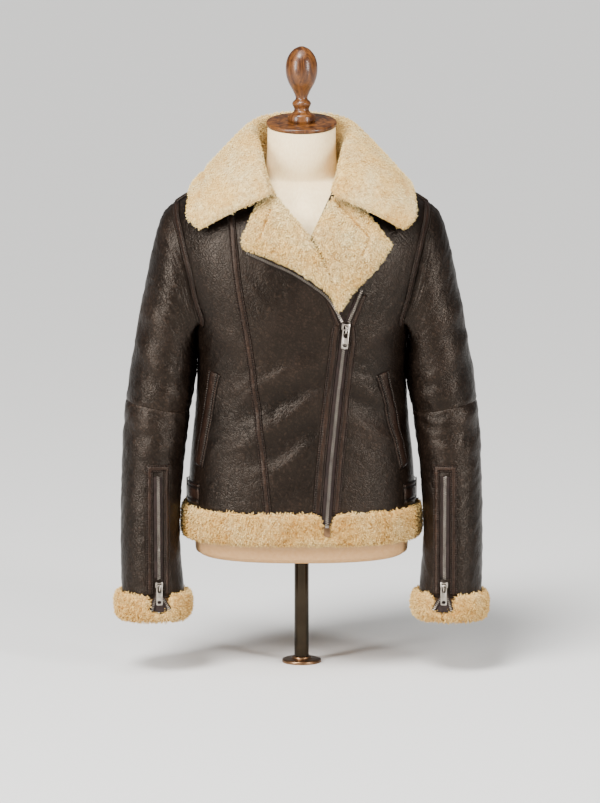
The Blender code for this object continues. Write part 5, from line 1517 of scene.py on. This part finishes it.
def makeSlider(name, spot, normal, size, pullBody):
    out = unit(np.array([normal[0], normal[1], 0.0]))
    up = np.array([size["lean"], 0, 1.0])
    up = unit(up - out * (up @ out))
    place = np.eye(4)
    place[:3, 0], place[:3, 1], place[:3, 2] = np.cross(up, out), up, out
    place[:3, :3] *= size["scale"]
    place[:3, 3] = spot
    pivot = np.array(place)
    pivot[:3, 3] = place[:3, 3] + place[:3, 2] * sliderShape["pivot"]
    place[:3, 3] -= place[:3, 1] * size["drop"]
    bottom, top = (sliderShape["crown"] + sliderShape[key] for key in ("tail", "shortTail"))
    base, low = size["base"], size["low"]
    # painted shade: the base plate is dark steel where the nickel slider lies in shadow
    lower = plateMesh("sliderBase", bottom, base, base + sliderShape["plate"], place, darkSteel)
    gap = plateMesh("crownGap", roundedBox(*sliderShape["gap"]), 3, 6.5, place)
    upper = plateMesh("sliderTop", top, *sliderShape["top"], place)
    # painted shade: the post is dark steel where the nickel slider lies in shadow
    post = plateMesh("sliderPost", roundedBox(*sliderShape["post"]), base + 1.2, 4.0, place, darkSteel)
    lower, upper, post = settle(lower, 0.3), settle(upper, 0.4, (gap,)), settle(post)
    bridge = settle(bridgeMesh(place), 0.3)
    hand(join(f"{name}Slider", [lower, upper, post, bridge]), "nickel")
    thick, cut, (half, first, last, corner) = pullShape["thick"], pullShape["cut"], pullShape["hole"]
    tab = roundedBox(pullShape["half"], low, pullShape["top"], pullShape["corner"])
    tab = plateMesh(f"{name}Pull", tab, -thick, thick, pivot)
    slot = plateMesh("pullSlot", roundedBox(*pullShape["slot"]), -cut, cut, pivot)
    hole = plateMesh("pullHole", roundedBox(half, low + first, low + last, corner, 6), -cut, cut, pivot)
    hand(settle(tab, pullShape["bevel"], (slot, hole)), "nickel", body=pullBody)


def makeMetal():
    spot = trunkSpot(*zips["slider"])
    plain, normal = trunkPlain(*spot), trunkNormal(*spot)
    seat = plain + normal * foldHeight(plain[0], plain[2], -1)
    makeSlider("main", seat, normal, mainSlider, "main_pull")
    box = np.eye(4)
    box[:3, 0], box[:3, 1], box[:3, 2] = (1, 0, 0), (0, 0, 1), (0, -1, 0)
    box[:3, 3] = trunk(*trunkSpot(37.0, 219.5), 5.0)
    shell = settle(plateMesh("boxShell", roundedBox(4.4, -6.5, 7.2, 1.2), -4.0, 3.2, box, bronze), 0.6)
    pin = settle(plateMesh("boxPin", roundedBox(2.6, 5.0, 11.0, 0.8), -3.0, 1.6, box), 0.3)
    hand(join("mainZipBox", [shell, pin]), "nickel")
    for sign, side, tail in bothSides:
        spot = spotOnSleeve(sign, sign * (zips["cuffX"] + zips["cuffShift"]), zips["cuffZ"])
        makeSlider(f"cuff{tail}", sleevePlain(sign, *spot), sleeveNormal(sign, *spot), cuffSlider,
                   f"cuff_pull_{side}")
        centre = trunk(sign * 90.0, tabRow)
        ring = [centre + [sign * 2.2, -a, b] for a, b in roundedBox(4.8, -14.7, 14.7, 2.6, 6)]
        hand(wireMesh(f"sideRing{tail}", ring, 1.15), "nickel")


makeMetal()
print("metal fittings made")

# Dress form, cap, finial, pole and foot
formRings = table(
    "z halfWidth front back power",
    (167, 140, 92, 88, 2.3),
    (168.5, 149, 100, 95, 2.35),
    (173, 156, 106, 101, 2.4),
    (182, 160, 109, 104, 2.4),
    (240, 159, 109, 104, 2.4),
    (300, 153, 106, 100, 2.4),
    (366, 144, 103, 95, 2.4),
    (430, 137, 102, 94, 2.4),
    (500, 141, 108, 97, 2.4),
    (560, 147, 110, 98, 2.4),
    (610, 151, 107, 97, 2.4),
    (650, 152, 99, 93, 2.3),
    (680, 148, 88, 86, 2.2),
    (702, 136, 71, 73, 2.1),
    (719.7, 112.4, 56.8, 59.4, 2.05),
    (726.8, 78, 43, 44.5, 2.0),
    (733, 56, 39, 39.5, 2.0),
    (756, 52.5, 46, 45, 2.0),
    (776, 51, 49.5, 48.5, 2.0),
    (810.7, 50.5, 50, 50, 2.0),
)
finialLine = ((0, 19.5), (4, 21), (9, 19.5), (13, 13), (18, 11), (25, 14), (29, 12.5), (34, 8.8), (45, 13),
              (57, 19.5), (70, 23.2), (84, 23.3), (96, 19.8), (106, 12), (110.5, 3))
capLine = ((-6.5, 2), (-6.2, 1.1), (-5.4, 0.3), (-4.4, 0), (-2.2, 0), (-1.0, 0.4), (-0.2, 1.3), (0, 2.4))
footLine = ((0, 29.2), (0.4, 29.5), (3.2, 29.5), (4.4, 28.9), (5, 27.6), (5.3, 22), (5.6, 16.4), (6.2, 15),
            (7, 14.5), (8.6, 14.3), (9, 13.8), (9, 11.5))
stand = dict(neckLean=770.0, formTop=810.7, tilt=math.radians(11.0), capTop=817.5, capRadius=52.5, fit=0.3,
             seamDepth=0.7, seamWidth=1.3, neckSeam=722.0, poleRadius=11, sides=64)


def turnedMesh(name, profile, finish, base=0.0):
    turns = np.arange(stand["sides"]) * 2 * math.pi / stand["sides"]
    grid = [(r * math.cos(t), r * math.sin(t), base + z) for z, r in profile for t in turns]
    piece = makeMesh(name, grid, tubeFaces(len(profile), len(turns)), (finish,))
    piece.data.set_sharp_from_angle(angle=math.radians(40))
    return piece


def makeForm():
    rows, sides = 130, 96
    read = readAt(formRings, np.linspace(0, len(formRings["z"]) - 1, rows)[:, None])
    x, y = roundRing(read, np.arange(sides) * 360 / sides)
    z = read["z"] + 0 * x
    seam = np.exp(-(x / stand["seamWidth"])**2) + np.exp(-((z - stand["neckSeam"]) / stand["seamWidth"])**2)
    shrink = 1 - np.minimum(seam, 1) * stand["seamDepth"] / np.hypot(x, y)
    lean = ease((z - stand["neckLean"]) / (stand["formTop"] - stand["neckLean"]))
    points = np.stack([x * shrink, y * shrink, z + y * math.tan(stand["tilt"]) * lean], -1)
    piece = makeMesh("formTorso", points.reshape(-1, 3), tubeFaces(rows, sides), (linen,))
    mesh = piece.data
    mesh.set_sharp_from_angle(angle=math.radians(50))
    cloth = mesh.uv_layers.new(name="clothMap").data
    for face in mesh.polygons:
        angles = [math.atan2(mesh.vertices[k].co.x, -mesh.vertices[k].co.y) for k in face.vertices]
        wrap = max(angles) - min(angles) > math.pi
        for corner, k, angle in zip(face.loop_indices, face.vertices, angles):
            angle += 2 * math.pi if wrap and angle < 0 else 0
            cloth[corner].uv = (angle * 0.13, mesh.vertices[k].co.z)
    hand(piece, "linen")


def makeStand():
    r = stand["capRadius"]
    cap = turnedMesh("neckCap", [(z, r - less) for z, less in capLine] + [(0, r * 0.6)], turnedWood)
    lifted = Matrix.Translation((0, 0, stand["capTop"] * mm))
    cap.data.transform(lifted @ Matrix.Rotation(stand["tilt"], 4, "X"))
    hand(cap, "turned_wood")
    profile = spline(finialLine, np.linspace(0, 14, 76))
    profile[:, 1] = np.maximum(profile[:, 1], 0.8)
    finial = turnedMesh("turnedFinial", profile, turnedWood, stand["capTop"] + stand["fit"])
    for vertex in finial.data.vertices:
        height = vertex.co.z / mm - stand["capTop"] - stand["fit"]
        vertex.co.z += vertex.co.y * math.tan(stand["tilt"]) * float(1 - ease(height / 12))
    hand(finial, "turned_wood", "finial")
    pole = [(z, stand["poleRadius"]) for z in (9.3, 60, 120, 166.7)]
    hand(turnedMesh("steelPole", pole, darkSteel), "dark_steel", "pole")
    hand(turnedMesh("footFlange", footLine, bronze), "bronze")


makeForm()
makeStand()
print("dress form and stand made")

# The cut of every sheet that shows: flat width and length in metres, and its area where it isn't a rectangle
woolCuts = dict(
    lapelRight=(0.16, 0.13, 0.0105, "folded", "frontRightCentre"),
    lapelLeft=(0.18, 0.115, 0.0128, "folded", "frontLeft"),
    collarWool=(0.62, 0.24, 0.107, "folded", "backPanel"),
    hemWool=(1.06, 0.05, 0.052, "hung", "backPanel"),
    cuffWoolRight=(0.345, 0.042, 0.0142, "hung", "sleeveRightLower"),
    cuffWoolLeft=(0.345, 0.042, 0.0142, "hung", "sleeveLeftLower"),
)
stripCuts = dict(
    armholeStripBack=(0.012, 0.165), armholeStripFront=(0.012, 0.2), princessStrip=(0.014, 0.5),
    zipFacingLeft=(0.0146, 0.335), zipFacingRight=(0.0146, 0.335), pocketWelt=(0.027, 0.15),
    waistTabFront=(0.032, 0.056), waistTabBack=(0.032, 0.06), cuffFrame=(0.0128, 0.405),
    shoulderStrip=(0.013, 0.125), mainZipClosed=(0.0144, 0.284), cuffZip=(0.0132, 0.152),
    cuffGusset=(0.0155, 0.029),
)


def declareSheets():
    for skin in woolPieces:
        width, length, area, held, under = woolCuts[skin.name]
    for name, piece in strips.items():
        cut = next((stripCuts[key] for key in stripCuts if name.startswith(key)), None)
        if cut is None:
            continue
        side = "Left" if name.endswith("Left") else "Right"
        under = "frontLeft" if side == "Left" else "frontRightCentre"
        if name.startswith("cuff"):
            under = f"sleeve{side}Lower"
        elif name.startswith(("waistTabBack", "armholeStripBack")):
            under = "backPanel"
        narrow = {"mainZipClosed": ("mainZipBranchRight", "mainZipBranchLeft"),
                  "cuffZip" + side: ("cuffTapeInner" + side, "cuffTapeOuter" + side)}.get(name, ())
        [strips[key] for key in narrow]


declareSheets()
